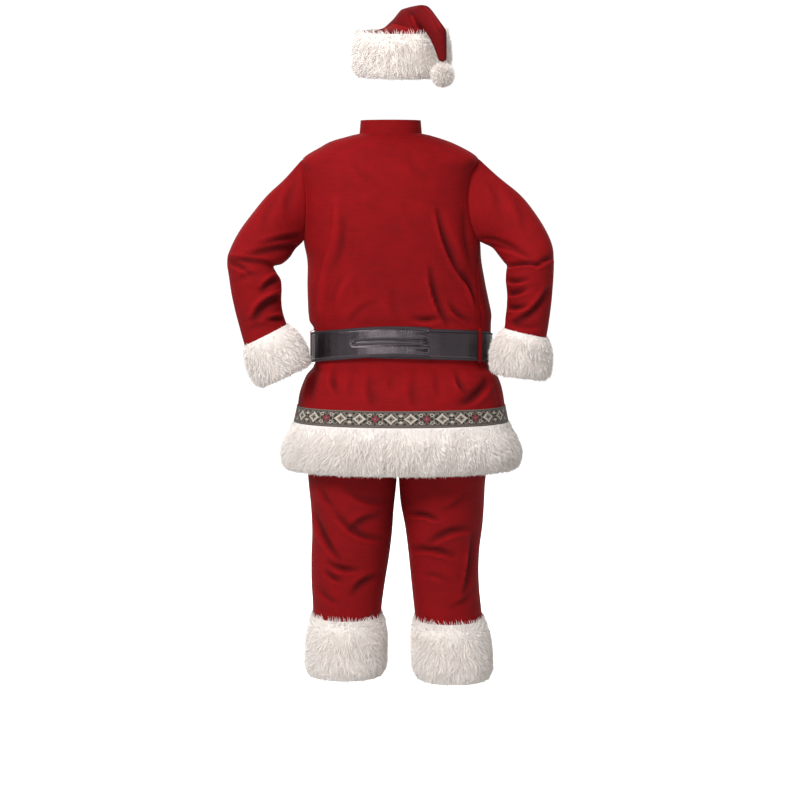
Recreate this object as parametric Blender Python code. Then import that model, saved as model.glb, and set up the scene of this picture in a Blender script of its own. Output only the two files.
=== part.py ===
# Santa suit: a belted velour jacket with plush trim, trousers with plush leg bands, and a
# stocking cap, in the hollow form they take when worn with the hands on the hips.
# Metres, +Z up. The origin is the middle of the neck opening at the shoulder line, the
# front faces -Y and the wearer's left side is +X.

import math

import bmesh
import bpy
import numpy as np
from mathutils import Vector

for item in list(bpy.data.objects):
    bpy.data.objects.remove(item, do_unlink=True)

MM = 0.001

# Cloth and gaps
VELOUR = 2.0
SEAM_GAP = 0.4
LAY_GAP = 0.3

# Angles round the body are in degrees from the centre back, towards the wearer's left.
# Jacket body: one row for each level section, sizes in millimetres. back and front are how
# far the section reaches behind and before the shoulder seam, round is its superellipse
# power, seam_left and seam_right are the side seams' angles.
JACKET_COLUMNS = ("z", "middle", "half_width", "back", "front", "round", "seam_left", "seam_right")
JACKET = (
    (0, 22, 74, 56, 62, 2.0, 84, 80),
    (-8, 22, 102, 66, 72, 2.0, 84, 80),
    (-17, 24, 132, 76, 82, 2.1, 84, 80),
    (-35, 21, 170, 88, 95, 2.2, 84, 80),
    (-59, 22, 207, 100, 108, 2.3, 84, 80),
    (-90, 27, 203, 112, 122, 2.4, 84, 80),
    (-150, 28, 200, 124, 138, 2.4, 84, 80),
    (-200, 25, 204, 129, 146, 2.4, 84, 79),
    (-255, 19, 210, 130, 152, 2.4, 84, 77),
    (-300, 14, 207, 127, 156, 2.4, 84, 68),
    (-358, 9, 212, 122, 160, 2.4, 84, 62),
    (-400, 4, 216, 118, 163, 2.4, 84, 60),
    (-434, 0, 218, 116, 164, 2.4, 84, 60),
    (-449, -1, 216, 112, 158, 2.4, 84, 60),
    (-457, -4, 213, 112, 158, 2.4, 84, 60),
    (-500, -4, 213, 112, 158, 2.4, 84, 60),
    (-558, -4, 213, 112, 158, 2.4, 84, 62),
    (-572, -4, 226, 128, 170, 2.3, 84, 64),
    (-592, -4, 236, 143, 178, 2.3, 84, 66),
    (-614, -3, 243, 153, 183, 2.2, 84, 68),
    (-650, -3, 249, 163, 187, 2.2, 84, 68),
    (-690, -3, 257, 170, 191, 2.2, 84, 68),
    (-725, -3, 264, 176, 195, 2.2, 84, 68),
    (-765, -3, 268, 181, 198, 2.2, 84, 68),
    (-805, -3, 271, 184, 200, 2.2, 84, 68),
)
NECK_DROP = 38
NECK_DROP_FROM = -170
SHOULDER_TIP = -59
ARMPIT = -255
ARMHOLE_BACK = 15
ARMHOLE_FRONT = 24
ARMHOLE_STEPS = 10
RED_HEM = -703
BODY_ROWS = (RED_HEM, -660, -625, -592, -572, -557, -520, -480, -449, -415, -375, -335, -295)
YOKE_ROWS = (-43, -28, -14, 0)
BACK_COLUMNS = 22
FRONT_COLUMNS = 11
LAP_FADE = 5
LAP_SHORT = 2
LAP_STEP = 2.5

# Folds seen from behind and from before: the two ends of each crease, its half breadth and
# its depth, in millimetres. A depth below zero is a ridge.
BACK_FOLDS = (
    (-89, -200, -148, -344, 15, 6),
    (-148, -344, -179, -389, 13, 7),
    (-112, -215, -172, -330, 20, -4),
    (-71, -327, -108, -448, 13, 4),
    (-38, -437, -89, -437, 10, 3),
    (151, -172, 170, -294, 20, -4),
    (170, -294, 187, -396, 15, -4),
    (118, -344, 143, -398, 14, -3),
    (-134, -566, -150, -600, 11, 5),
    (-143, -634, -215, -572, 18, 5),
    (158, -566, 150, -600, 11, 4),
    (70, -570, 64, -640, 15, 3),
    (-30, -575, -34, -650, 16, 3),
)
FRONT_FOLDS = (
    (150, -190, 175, -330, 18, 5),
    (90, -330, 120, -446, 15, 4),
    (-110, -190, -150, -320, 18, 5),
    (-80, -340, -118, -446, 15, 4),
    (110, -570, 130, -650, 15, 4),
    (-100, -570, -125, -650, 15, 4),
    (-175, -568, -205, -630, 14, 4),
    (190, -570, 215, -640, 14, 4),
)

# Sleeves: one row for each section down the arm. over and under are the two edges seen
# from behind, mid_y is how far back the section sits and deep is half its depth.
SLEEVE_COLUMNS = ("over_x", "over_z", "under_x", "under_z", "mid_y", "deep")
LEFT_SLEEVE = (
    (230, -59, 229, -255, -6, 60),
    (274, -109, 239, -264, 4, 64),
    (315, -148, 250, -275, 20, 66),
    (349, -189, 262, -294, 38, 66),
    (377, -229, 279, -308, 56, 64),
    (396, -268, 297, -313, 72, 62),
    (405, -299, 292, -326, 80, 60),
    (401, -340, 280, -344, 84, 59),
    (396, -378, 278, -368, 85, 57),
    (388, -415, 279, -394, 84, 55),
    (378, -454, 276, -420, 82, 53),
    (366, -499, 266, -449, 80, 52),
    (351, -536, 245, -488, 78, 53),
    (336, -568, 232, -522, 77, 53),
    (321, -596, 222, -550, 76, 52),
)
RIGHT_SLEEVE = (
    (-185, -59, -186, -255, -6, 60),
    (-235, -104, -200, -262, 4, 64),
    (-284, -146, -220, -272, 20, 66),
    (-318, -188, -235, -290, 38, 66),
    (-343, -228, -245, -303, 56, 64),
    (-358, -266, -252, -312, 72, 62),
    (-361, -305, -250, -326, 82, 60),
    (-360, -345, -249, -346, 87, 58),
    (-357, -385, -252, -376, 88, 56),
    (-353, -420, -252, -404, 87, 55),
    (-349, -452, -249, -432, 85, 54),
    (-345, -480, -246, -458, 84, 53),
    (-342, -515, -231, -500, 83, 54),
    (-340, -548, -229, -535, 82, 54),
    (-338, -580, -230, -566, 81, 53),
)
SLEEVE_RINGS = 18
CUFF_START = 11.0
CUFF_END = 14.0
SLEEVE_FOLDS = (
    (233, -249, 316, -263, 8, 3),
    (238, -256, 346, -282, 9, 4),
    (300, -305, 405, -294, 9, 5),
    (397, -302, 350, -320, 9, 3),
    (285, -340, 315, -360, 9, 4),
    (284, -382, 335, -430, 12, 6),
    (277, -434, 303, -436, 8, 3),
    (-195, -252, -262, -268, 8, 3),
    (-260, -308, -356, -298, 9, 5),
    (-250, -330, -290, -340, 8, 3),
    (-342, -370, -274, -436, 13, 6),
    (-256, -396, -290, -402, 8, 3),
)

# Plush bands: how far round the wall each station lies, from 0 at the seam to 1 at the free
# edge, and how far the pile stands out of the cloth there, in millimetres.
SLEEVE_PILE = ((0.0, 3), (0.12, 12), (0.35, 19), (0.65, 20), (0.88, 15), (1.0, 4))
LEG_PILE = ((0.0, 3), (0.10, 11), (0.30, 17), (0.60, 18), (0.86, 15), (1.0, 4))
HAT_PILE = ((0.0, 5), (0.12, 15), (0.38, 21), (0.65, 21), (0.88, 16), (1.0, 5))
HEM_PILE = ((0.0, 3), (0.15, 6), (0.32, 14), (0.48, 20), (0.66, 23.5), (0.83, 19), (0.94, 12), (1.0, 4))

# Hem trim
BRAID_TOP = -647
BRAID_BOTTOM = -685
BRAID_WALL = 1.5
HEM_FUR_TOP = -686
HEM_FUR_BOTTOM = -798
FRONT_EDGE = 171

# Belt: the height of the strap's middle at each angle, in millimetres
BELT_WIDTH = 72
BELT_WALL = 3.0
LEFT_STRAP = ((-13.5, -490), (0, -488), (45, -498), (90, -509), (135, -515), (187.5, -517))
RIGHT_STRAP = ((-187.5, -517), (-135, -516), (-90, -511), (-60, -502), (-13.5, -494), (15, -491))
WAIST = -500
BELT_STAND = 1.0
STRAP_STEP = 7.5
BELT_FADE = 15
LOOPS = ((84, LEFT_STRAP), (-56, RIGHT_STRAP))
LOOP_WIDTH = 15
LOOP_WALL = 1.2
LOOP_REACH = 8
LOOP_RADIUS = 205
LOOP_BEND = (2, 5)
BUCKLE_WIDTH = 96
BUCKLE_HEIGHT = 92
BUCKLE_BAR = 13
BUCKLE_DEEP = 5
BUCKLE_EDGE = (1.5, 2.5)
BUCKLE_CORNERS = (6, 3)
PRONG = (84, 4, 6)
PRONG_BEVEL = 1.2

# Buttons down the lap
BUTTONS = (-90, -189, -288, -387)
BUTTON_RADIUS = 11
BUTTON_TOP_RADIUS = 9
BUTTON_DEEP = 4

# Collar band
COLLAR_HEIGHT = 30
COLLAR_COLUMNS = 26
COLLAR_LEAN = -0.0012

# Trousers: hips sections, then each leg's sections, in millimetres
HIP_COLUMNS = ("z", "middle", "half_width", "back", "front")
HIPS = (
    (-470, 0, 172, 88, 112),
    (-510, 0, 176, 92, 118),
    (-560, 1, 184, 104, 122),
    (-640, 3, 196, 120, 122),
    (-720, 5, 206, 124, 118),
    (-800, 5, 214, 120, 112),
)
LEG_COLUMNS = ("z", "outer", "inner", "back", "front")
LEFT_LEG = (
    (-640, 222, 6, 122, 118),
    (-800, 222, 6, 121, 110),
    (-839, 219, 9, 117, 107),
    (-898, 214, 15, 110, 103),
    (-956, 212, 19, 105, 99),
    (-1015, 214, 26, 101, 94),
    (-1074, 214, 36, 97, 89),
    (-1132, 211, 44, 93, 85),
    (-1180, 211, 46, 91, 83),
    (-1310, 218, 48, 91, 82),
)
RIGHT_LEG = (
    (-640, -211, 4, 122, 118),
    (-800, -209, 4, 121, 110),
    (-839, -205, 2, 116, 107),
    (-878, -203, -1, 112, 104),
    (-937, -199, -12, 106, 99),
    (-995, -192, -19, 100, 94),
    (-1034, -190, -23, 98, 91),
    (-1093, -192, -29, 95, 87),
    (-1132, -196, -33, 93, 85),
    (-1180, -201, -38, 91, 83),
    (-1310, -212, -46, 91, 82),
)
CROTCH = -795
FORK_FROM = -600
WAIST_SEAM = -510
WAISTBAND_TOP = -470
LEG_FUR = {"left": (-1157, -1302), "right": (-1165, -1311)}
TROUSER_ROWS = (WAIST_SEAM, -560, -610, -660, -705, -745, -775, -795)
LEG_ROWS = 9
PANEL_COLUMNS = 7
WAISTBAND_SIDES = 32
WAISTBAND_WALL = 2.5
HIP_ROUND = 2.2
LEG_ROUND = 0.9
LEG_MIDDLE = 3
FORK_POWER = 1.6
LEG_FUR_GAP = 0.9
TROUSER_FOLDS = (
    (184, -845, 165, -876, 10, 3),
    (199, -913, 146, -999, 13, 6),
    (146, -905, 49, -958, 12, 4),
    (165, -1022, 108, -1029, 10, 4),
    (172, -1044, 144, -1055, 9, 3),
    (-31, -901, -79, -908, 10, 3),
    (-79, -958, -153, -939, 12, 4),
    (-38, -991, -120, -996, 11, 6),
    (-165, -970, -151, -1082, 12, 4),
)

# Cap: the crown falls towards one side of the back. over and under are the two edges of
# each section in the upright plane of the fall, deep is half its breadth across that plane.
FALL = (-0.58, 0.8146)
CROWN_COLUMNS = ("over", "over_z", "under", "under_z", "deep")
CROWN = (
    (-101, 214, 100, 206, 95),
    (-98, 226, 99, 221, 92),
    (-77, 236, 99, 231, 78),
    (-44, 248, 100, 238, 50),
    (-12, 269, 100, 238, 39),
    (13, 289, 101, 237, 33),
    (50, 293, 102, 236, 29),
    (89, 293, 105, 235, 26),
    (131, 261, 112, 226, 22),
    (165, 233, 124, 210, 18),
    (169, 197, 138, 190, 14),
    (173, 163, 151, 162, 8),
)
CROWN_RINGS = 12
CROWN_SIDES = 18
HAT_MIDDLE = (-4, 0)
HAT_HALF = (98, 108)
HAT_SLACK = 1.0
HAT_TILT = 0.14
HAT_BAND = (238, 134)
HAT_COLUMNS = 26
HAT_GAP = 0.7
TIP_OUTSIDE = 4.0
TIP_INSIDE = 1.5
POMPOM_RADIUS = 29


def finish(name, colour, roughness, metallic=0.0):
    """A plain material of one colour, given as red, green and blue from 0 to 1."""
    material = bpy.data.materials.new(name)
    material.use_nodes = True
    shader = material.node_tree.nodes["Principled BSDF"]
    shader.inputs["Base Color"].default_value = (*colour, 1.0)
    shader.inputs["Roughness"].default_value = roughness
    shader.inputs["Metallic"].default_value = metallic
    material.diffuse_color = (*colour, 1.0)
    return material


RED_VELOUR = finish("red velour", (0.27, 0.010, 0.013), 0.75)
WHITE_PLUSH = finish("white plush", (0.80, 0.74, 0.69), 0.95)
BLACK_VINYL = finish("black vinyl", (0.022, 0.020, 0.022), 0.42)
WOVEN_BRAID = finish("woven braid", (0.13, 0.10, 0.085), 0.85)
BRASS = finish("brass", (0.60, 0.44, 0.16), 0.32, 1.0)
BLACK_BUTTON = finish("black button", (0.03, 0.03, 0.032), 0.35)


def smooth_curve(keys, values, at):
    """Cubic curve through the values at the keys, with slopes from the neighbours."""
    keys = np.asarray(keys, float)
    values = np.asarray(values, float)
    order = np.argsort(keys)
    keys, values = keys[order], values[order]
    slopes = np.gradient(values, keys)
    at = np.clip(at, keys[0], keys[-1])
    low = np.clip(np.searchsorted(keys, at) - 1, 0, len(keys) - 2)
    span = keys[low + 1] - keys[low]
    t = (at - keys[low]) / span
    ease = t * t * (3 - 2 * t)
    rise = span * (t * (1 - t) ** 2 * slopes[low] - t * t * (1 - t) * slopes[low + 1])
    return values[low] * (1 - ease) + values[low + 1] * ease + rise


def column(table, columns, name, keys, at):
    """One named column of a table, read as a smooth curve over the keys."""
    return smooth_curve(keys, [row[columns.index(name)] for row in table], at)


def jacket_column(name, z):
    return column(JACKET, JACKET_COLUMNS, name, [row[0] for row in JACKET], z)


def superellipse(angle, power):
    """How far a rounded section reaches across and along, from 0 to 1, at an angle."""
    across = np.sin(angle)
    along = np.cos(angle)
    return (np.sign(across) * np.abs(across) ** (2 / power),
            np.sign(along) * np.abs(along) ** (2 / power))


def jacket_point(z, degrees):
    """Point of the jacket's outer face at a level and an angle, before any fold."""
    z, degrees = np.broadcast_arrays(np.asarray(z, float), np.asarray(degrees, float))
    across, along = superellipse(np.radians(degrees), jacket_column("round", z))
    depth = np.where(along > 0, jacket_column("back", z), jacket_column("front", z))
    fade = np.clip((z - NECK_DROP_FROM) / -NECK_DROP_FROM, 0, 1) ** 2
    drop = NECK_DROP * fade * np.clip(-along, 0, 1) ** 1.5
    x = jacket_column("middle", z) + jacket_column("half_width", z) * across
    return np.stack([x, depth * along, z - drop], axis=-1)


def jacket_normal(z, degrees):
    """Outward normal of the jacket's outer face, the same on both sides of every seam."""
    z, degrees = np.broadcast_arrays(np.asarray(z, float), np.asarray(degrees, float))
    around = jacket_point(z, degrees + 0.5) - jacket_point(z, degrees - 0.5)
    upper = np.minimum(z + 2, 0)
    rise = jacket_point(upper, degrees) - jacket_point(upper - 4, degrees)
    normal = np.cross(rise, around)
    return normal / np.linalg.norm(normal, axis=-1, keepdims=True)


def normals(grid, ring=False):
    """Unit normals of a grid of points, pointing away from the middle of the grid."""
    if ring:
        around = np.roll(grid, -1, axis=0) - np.roll(grid, 1, axis=0)
    else:
        around = np.gradient(grid, axis=0)
    normal = np.cross(around, np.gradient(grid, axis=1))
    normal /= np.maximum(np.linalg.norm(normal, axis=-1, keepdims=True), 1e-9)
    outwards = np.sum(normal * (grid - grid.mean(axis=(0, 1))))
    return normal if outwards > 0 else -normal


def creased(grid, normal, folds, facing):
    """Move the points in at each fold that is seen from the side that facing names."""
    depth = np.zeros(grid.shape[:2])
    flat = grid[..., (0, 2)]
    for x0, z0, x1, z1, breadth, deep in folds:
        start = np.array([x0, z0], float)
        run = np.array([x1, z1], float) - start
        share = np.clip(((flat - start) @ run) / (run @ run), 0, 1)
        away = np.linalg.norm(flat - start - share[..., None] * run, axis=-1)
        depth += deep * np.exp(-(away / breadth) ** 2)
    seen = np.clip(normal[..., 1] * facing * 2.5, 0, 1)
    return grid - normal * (depth * seen)[..., None]


def trimmed(grid, gap):
    """Draw the two side edges of a panel back along its rows by a seam's half gap."""
    grid = grid.copy()
    for edge, next_one in ((0, 1), (-1, -2)):
        run = grid[next_one] - grid[edge]
        run /= np.linalg.norm(run, axis=-1, keepdims=True)
        grid[edge] += run * gap
    return grid


def solid(name, loops, material, ring=True, poles=()):
    """A closed body from loops of points in millimetres, one loop for each station.

    Each loop is closed. The stations close on themselves when ring is set and are capped
    with strips across the wall otherwise. The loop places in poles are single points. The
    two halves of a loop, outer and inner, split their faces the same way across the wall.
    """
    stations, count = loops.shape[:2]
    index = np.arange(stations * count).reshape(stations, count)
    for place in poles:
        index[:, place] = index[0, place]
    following = np.roll(index, -1, axis=1)
    faces = []
    for k in range(stations if ring else stations - 1):
        beyond = (k + 1) % stations
        for j in range(count):
            corners = [index[k, j], following[k, j], following[beyond, j], index[beyond, j]]
            if j >= count // 2:
                corners = corners[1:] + corners[:1]
            for half in (corners[:3], corners[2:] + corners[:1]):
                if len(set(half)) == 3:
                    faces.append([int(corner) for corner in half])
    if not ring:
        for k in (0, stations - 1):
            for j in range(count // 2 - 1):
                faces.append([int(index[k, place]) for place in (j, j + 1, count - 2 - j, count - 1 - j)])
    mesh = bpy.data.meshes.new(name)
    mesh.from_pydata((loops.reshape(-1, 3) * MM).tolist(), [], faces)
    body = bmesh.new()
    body.from_mesh(mesh)
    bmesh.ops.delete(body, geom=[vert for vert in body.verts if not vert.link_faces], context="VERTS")
    bmesh.ops.recalc_face_normals(body, faces=body.faces)
    body.to_mesh(mesh)
    body.free()
    mesh.materials.append(material)
    mesh.shade_smooth()
    mesh.set_sharp_from_angle(angle=math.radians(50))
    item = bpy.data.objects.new(name, mesh)
    bpy.context.scene.collection.objects.link(item)
    return item


def cloth(name, grid, normal, material, wall=VELOUR, ring=False):
    """A sheet of even wall behind its outer points, stations first and rows second."""
    loops = np.concatenate([grid, (grid - normal * wall)[:, ::-1]], axis=1)
    return solid(name, loops, material, ring)


def armhole_levels():
    """The levels of the armhole's points, from the shoulder tip down to the armpit."""
    turn = np.linspace(0, math.pi, ARMHOLE_STEPS + 1)
    return (SHOULDER_TIP + ARMPIT) / 2 + (SHOULDER_TIP - ARMPIT) / 2 * np.cos(turn)


def panel_edge(z, side, part):
    """Angle of a body panel's side edge at a level: side seam, armhole, shoulder seam."""
    name = "seam_left" if side > 0 else "seam_right"
    seam = jacket_column(name, np.minimum(z, ARMPIT))
    rise = np.clip((z - ARMPIT) / (SHOULDER_TIP - ARMPIT), 0, 1)
    swell = np.sqrt(np.clip(4 * rise * (1 - rise), 0, 1))
    reach = -ARMHOLE_BACK if part == "back" else ARMHOLE_FRONT
    return side * (seam + (90 - seam) * rise + reach * swell)


def body_rows():
    return np.array(list(BODY_ROWS) + list(armhole_levels()[::-1]) + list(YOKE_ROWS), float)


def jacket_back():
    """Back: one piece from side seam to side seam, up to the shoulder seams and neck."""
    z = body_rows()[None, :]
    share = np.linspace(0, 1, BACK_COLUMNS)[:, None]
    start = panel_edge(z, -1, "back")
    stop = panel_edge(z, 1, "back")
    angle = start + (stop - start) * share
    grid = jacket_point(z + 0 * share, angle)
    normal = jacket_normal(z + 0 * share, angle)
    grid = trimmed(creased(grid, normal, BACK_FOLDS, 1), SEAM_GAP / 2)
    cloth("jacket_back", grid, normal, RED_VELOUR)


def front_angles(seam, side):
    """Angles across a front from its side edge; both share their last three in the lap."""
    seam = np.atleast_1d(seam).reshape(1, -1)
    share = np.linspace(0, 1, FRONT_COLUMNS - 3)[:, None]
    lap = np.array([FRONT_EDGE + LAP_SHORT, 180.0, 360 - FRONT_EDGE])[:, None]
    if side < 0:
        lap = lap[::-1] - 360
    visible = seam + (side * (FRONT_EDGE - LAP_FADE) - seam) * share
    return np.concatenate([visible, lap + 0 * seam], axis=0)


def jacket_front(side):
    """Front: the left one laps over the right one and reaches past the middle."""
    z = body_rows()[None, :]
    angle = front_angles(panel_edge(z, side, "front"), side)
    grid = jacket_point(z + 0 * angle, angle)
    normal = jacket_normal(z + 0 * angle, angle)
    grid = creased(grid, normal, FRONT_FOLDS, -1)
    if side < 0:
        hidden = np.clip((np.abs(angle) - (FRONT_EDGE - LAP_FADE)) / LAP_FADE, 0, 1)
        under = hidden * hidden * (3 - 2 * hidden) * LAP_STEP
        grid = grid - normal * under[..., None]
    grid = trimmed(grid, SEAM_GAP / 2)
    cloth("jacket_front_left" if side > 0 else "jacket_front_right", grid, normal, RED_VELOUR)


def sleeve_surface(table, side, along, turns):
    """Sleeve points at places along the table's rows and turns round the arm.

    A turn of 0 is the upper edge, a quarter is the back and a half is the underside. The
    first rows ease from the armhole's own curve into the round sections.
    """
    keys = np.arange(len(table))
    along = np.asarray(along, float)[None, :]
    angle = np.asarray(turns, float)[:, None] * 2 * math.pi
    read = {name: column(table, SLEEVE_COLUMNS, name, keys, along) for name in SLEEVE_COLUMNS}
    mid_x = (read["over_x"] + read["under_x"]) / 2
    mid_z = (read["over_z"] + read["under_z"]) / 2
    x = mid_x + (read["over_x"] - mid_x) * np.cos(angle)
    z = mid_z + (read["over_z"] - mid_z) * np.cos(angle)
    y = read["mid_y"] + read["deep"] * np.sin(angle)
    grid = np.stack([x, y + 0 * x, z], axis=-1)
    level = (SHOULDER_TIP + ARMPIT) / 2 + (SHOULDER_TIP - ARMPIT) / 2 * np.cos(angle[:, 0])
    back = panel_edge(level, side, "back")
    front = panel_edge(level, side, "front")
    armhole = jacket_point(level, np.where(np.sin(angle[:, 0]) >= 0, back, front))
    fade = np.clip(1 - along / 2.0, 0, 1) ** 1.5
    return grid + (armhole[:, None] - grid[:, :1]) * fade[..., None]


def sleeve(side):
    """Sleeve: one tube with its seam underneath, set into the armhole."""
    table = LEFT_SLEEVE if side > 0 else RIGHT_SLEEVE
    turns = np.arange(2 * ARMHOLE_STEPS) / (2 * ARMHOLE_STEPS)
    hidden = CUFF_START + (CUFF_END - CUFF_START) * SLEEVE_PILE[1][0]
    along = np.append(np.linspace(0, CUFF_START, SLEEVE_RINGS - 1), hidden)
    grid = sleeve_surface(table, side, along, turns)
    run = grid[:, 1] - grid[:, 0]
    grid[:, 0] += run / np.linalg.norm(run, axis=-1, keepdims=True) * SEAM_GAP * 1.5
    normal = tube_normals(grid)
    grid = creased(grid, normal, SLEEVE_FOLDS, 1)
    cloth("sleeve_left" if side > 0 else "sleeve_right", grid, normal, RED_VELOUR, ring=True)


def tube_normals(grid):
    """Normals of a tube, each pointing away from the middle of its own ring."""
    normal = normals(grid, ring=True)
    outwards = np.sum(normal * (grid - grid.mean(axis=0)), axis=-1)
    return normal * np.sign(np.mean(outwards))


def piled(grid, normal, pile, gap=LAY_GAP):
    """Loops of a plush band: its inside lies off the cloth and its pile swells outwards.

    The grid has a row for each station of the pile table, from the seam to the free edge.
    """
    reach = np.array([out for _, out in pile])
    outer = grid + normal * (reach + gap)[None, :, None]
    inner = grid + normal * gap
    few = inner[:, (0, 1, len(pile) // 2, -1)]
    return np.concatenate([outer, few[:, ::-1]], axis=1)


def sleeve_cuff(side):
    """Sleeve cuff: a plush band round the sleeve's end, sewn on at its upper edge."""
    table = LEFT_SLEEVE if side > 0 else RIGHT_SLEEVE
    turns = np.arange(20) / 20
    stations = np.array([place for place, _ in SLEEVE_PILE])
    along = CUFF_START + (CUFF_END - CUFF_START) * stations
    grid = sleeve_surface(table, side, along, turns)
    loops = piled(grid, tube_normals(grid), SLEEVE_PILE)
    solid("sleeve_cuff_left" if side > 0 else "sleeve_cuff_right", loops, WHITE_PLUSH)


def sewn_point(z, degrees):
    """Point of the jacket's outer face between the panel rows that the solids have."""
    rows = np.sort(body_rows())
    z = np.asarray(z, float)
    above = np.clip(np.searchsorted(rows, z), 1, len(rows) - 1)
    low, high = rows[above - 1], rows[above]
    share = ((z - low) / (high - low))[..., None]
    between = jacket_point(low, degrees) * (1 - share) + jacket_point(high, degrees) * share
    return np.where(z[..., None] < RED_HEM, jacket_point(z, degrees), between)


def hem_angles():
    """The angles of the body panels' own points at the hem, from front edge to front edge."""
    hem = float(RED_HEM)
    left, right = panel_edge(hem, 1, "back"), panel_edge(hem, -1, "back")
    back = np.linspace(right, left, BACK_COLUMNS)
    front_left = front_angles(left, 1)[1:, 0]
    front_right = front_angles(right, -1)[1:-2, 0]
    return np.concatenate([front_right[::-1], back, front_left])


def round_hem(levels):
    """Jacket points and normals round the hem, starting and ending at the front edge."""
    degrees = hem_angles()[:, None]
    grid = sewn_point(np.asarray(levels, float)[None, :] + 0 * degrees, degrees)
    return trimmed(grid, SEAM_GAP / 2), jacket_normal(np.asarray(levels, float)[None, :], degrees)


def hem_braid():
    """Braid: a woven ribbon sewn flat round the hem, its ends meeting at the front edge."""
    grid, normal = round_hem((BRAID_TOP, BODY_ROWS[1], BRAID_BOTTOM))
    inner = grid + normal * LAY_GAP
    cloth("hem_braid", inner + normal * BRAID_WALL, normal, WOVEN_BRAID, BRAID_WALL)


def hem_fur():
    """Hem fur: a wide plush band below the braid, its ends meeting at the front edge."""
    stations = np.array([place for place, _ in HEM_PILE])
    levels = HEM_FUR_TOP + (HEM_FUR_BOTTOM - HEM_FUR_TOP) * stations
    grid, normal = round_hem(levels)
    reach = np.array([out for _, out in HEM_PILE])
    outer = grid + normal * (reach + LAY_GAP)[None, :, None]
    inner = grid + normal * LAY_GAP
    few = inner[:, (0, 1, 4, len(HEM_PILE) - 1)]
    solid("hem_fur", np.concatenate([outer, few[:, ::-1]], axis=1), WHITE_PLUSH, ring=False)


def collar():
    """Collar band: a low stand round the neckline, open at the front edge."""
    degrees = np.linspace(-FRONT_EDGE, 360 - FRONT_EDGE, COLLAR_COLUMNS)[:, None]
    foot = jacket_point(0.0, degrees)
    rise = np.linspace(SEAM_GAP, COLLAR_HEIGHT, 3)[None, :, None]
    lean = (foot - foot.mean(axis=(0, 1))) * COLLAR_LEAN
    lift = np.array([0.0, 0.0, 1.0])
    grid = foot + (lift + lean) * rise
    normal = normals(grid)
    normal[0] = normal[-1] = (normal[0] + normal[-1]) / 2
    cloth("collar_band", trimmed(grid, SEAM_GAP / 2), normal, RED_VELOUR)


def belt_surface(degrees, middle, offset):
    """Points up the strap's width at each angle, standing off the jacket by the offset."""
    degrees = np.asarray(degrees, float)[:, None]
    half = BELT_WIDTH / 2
    waist = jacket_point(WAIST, degrees)
    around = np.gradient(waist, axis=0)
    normal = np.stack([around[..., 1], -around[..., 0], 0 * around[..., 0]], axis=-1)
    normal /= np.linalg.norm(normal, axis=-1, keepdims=True)
    if np.sum(normal * (waist - waist.mean(axis=(0, 1)))) < 0:
        normal = -normal
    rows = np.array([-half, half])[None, :]
    face = waist + normal * np.asarray(offset, float)[:, None, None]
    grid = np.repeat(face, 2, axis=1)
    grid[..., 2] = np.asarray(middle, float)[:, None] + rows
    return grid, np.repeat(normal, 2, axis=1)


def strap_height(table, degrees):
    """Height of a strap's middle at an angle, read from its table."""
    return smooth_curve([angle for angle, _ in table], [height for _, height in table], degrees)


def strap(name, table, raised):
    """Belt strap: a flat strip that follows the waist, lifted where it lies on the other."""
    first, last = table[0][0], table[-1][0]
    between = np.arange(-360, 361, STRAP_STEP)
    between = between[(between > first + 1) & (between < last - 1)]
    degrees = np.concatenate([[first], between, [last]])
    middle = strap_height(table, degrees)
    start, stop = raised
    near = np.clip(1 - np.maximum(start - degrees, degrees - stop) / BELT_FADE, 0, 1)
    lift = LAY_GAP + BELT_STAND + near * near * (3 - 2 * near) * (BELT_WALL + LAY_GAP)
    grid, normal = belt_surface(degrees, middle, lift + BELT_WALL)
    cloth(name, grid, normal, BLACK_VINYL, BELT_WALL)


def belt_loop(name, degrees, middle):
    """Belt loop: a narrow strip of the jacket's cloth, over the belt and sewn above and below."""
    half = BELT_WIDTH / 2
    near, far = LOOP_BEND
    rises = (-half - LOOP_REACH, -half - far, -half - near, half + near, half + far, half + LOOP_REACH)
    over = BELT_WALL + 2 * LAY_GAP + BELT_STAND
    lifts = (LAY_GAP, LAY_GAP, over, over, LAY_GAP, LAY_GAP)
    spread = np.degrees(LOOP_WIDTH / 2 / LOOP_RADIUS)
    angles = np.array([degrees - spread, degrees, degrees + spread])[:, None]
    levels = middle + np.array(rises)[None, :]
    grid = sewn_point(levels + 0 * angles, angles + 0 * levels)
    waist = jacket_point(WAIST, angles)
    grid[:, 2:4, :2] = waist[:, :, :2]
    normal = normals(grid)
    normal[..., 2] = 0
    normal /= np.linalg.norm(normal, axis=-1, keepdims=True)
    normal *= np.sign(np.sum(normal * (grid * (1, 1, 0))))
    face = grid + normal * (np.array(lifts) + LOOP_WALL)[None, :, None]
    cloth(name, face, normal, RED_VELOUR, LOOP_WALL)


def rounded_box(name, size, place, material, bevel):
    """A block with bevelled edges, its size and place in millimetres."""
    mesh = bpy.data.meshes.new(name)
    body = bmesh.new()
    bmesh.ops.create_cube(body, size=1.0)
    bmesh.ops.scale(body, vec=[side * MM for side in size], verts=body.verts)
    bmesh.ops.bevel(body, geom=list(body.edges), offset=bevel * MM, segments=1, affect="EDGES")
    bmesh.ops.translate(body, vec=[side * MM for side in place], verts=body.verts)
    body.to_mesh(mesh)
    body.free()
    mesh.materials.append(material)
    item = bpy.data.objects.new(name, mesh)
    bpy.context.scene.collection.objects.link(item)
    return item


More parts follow.
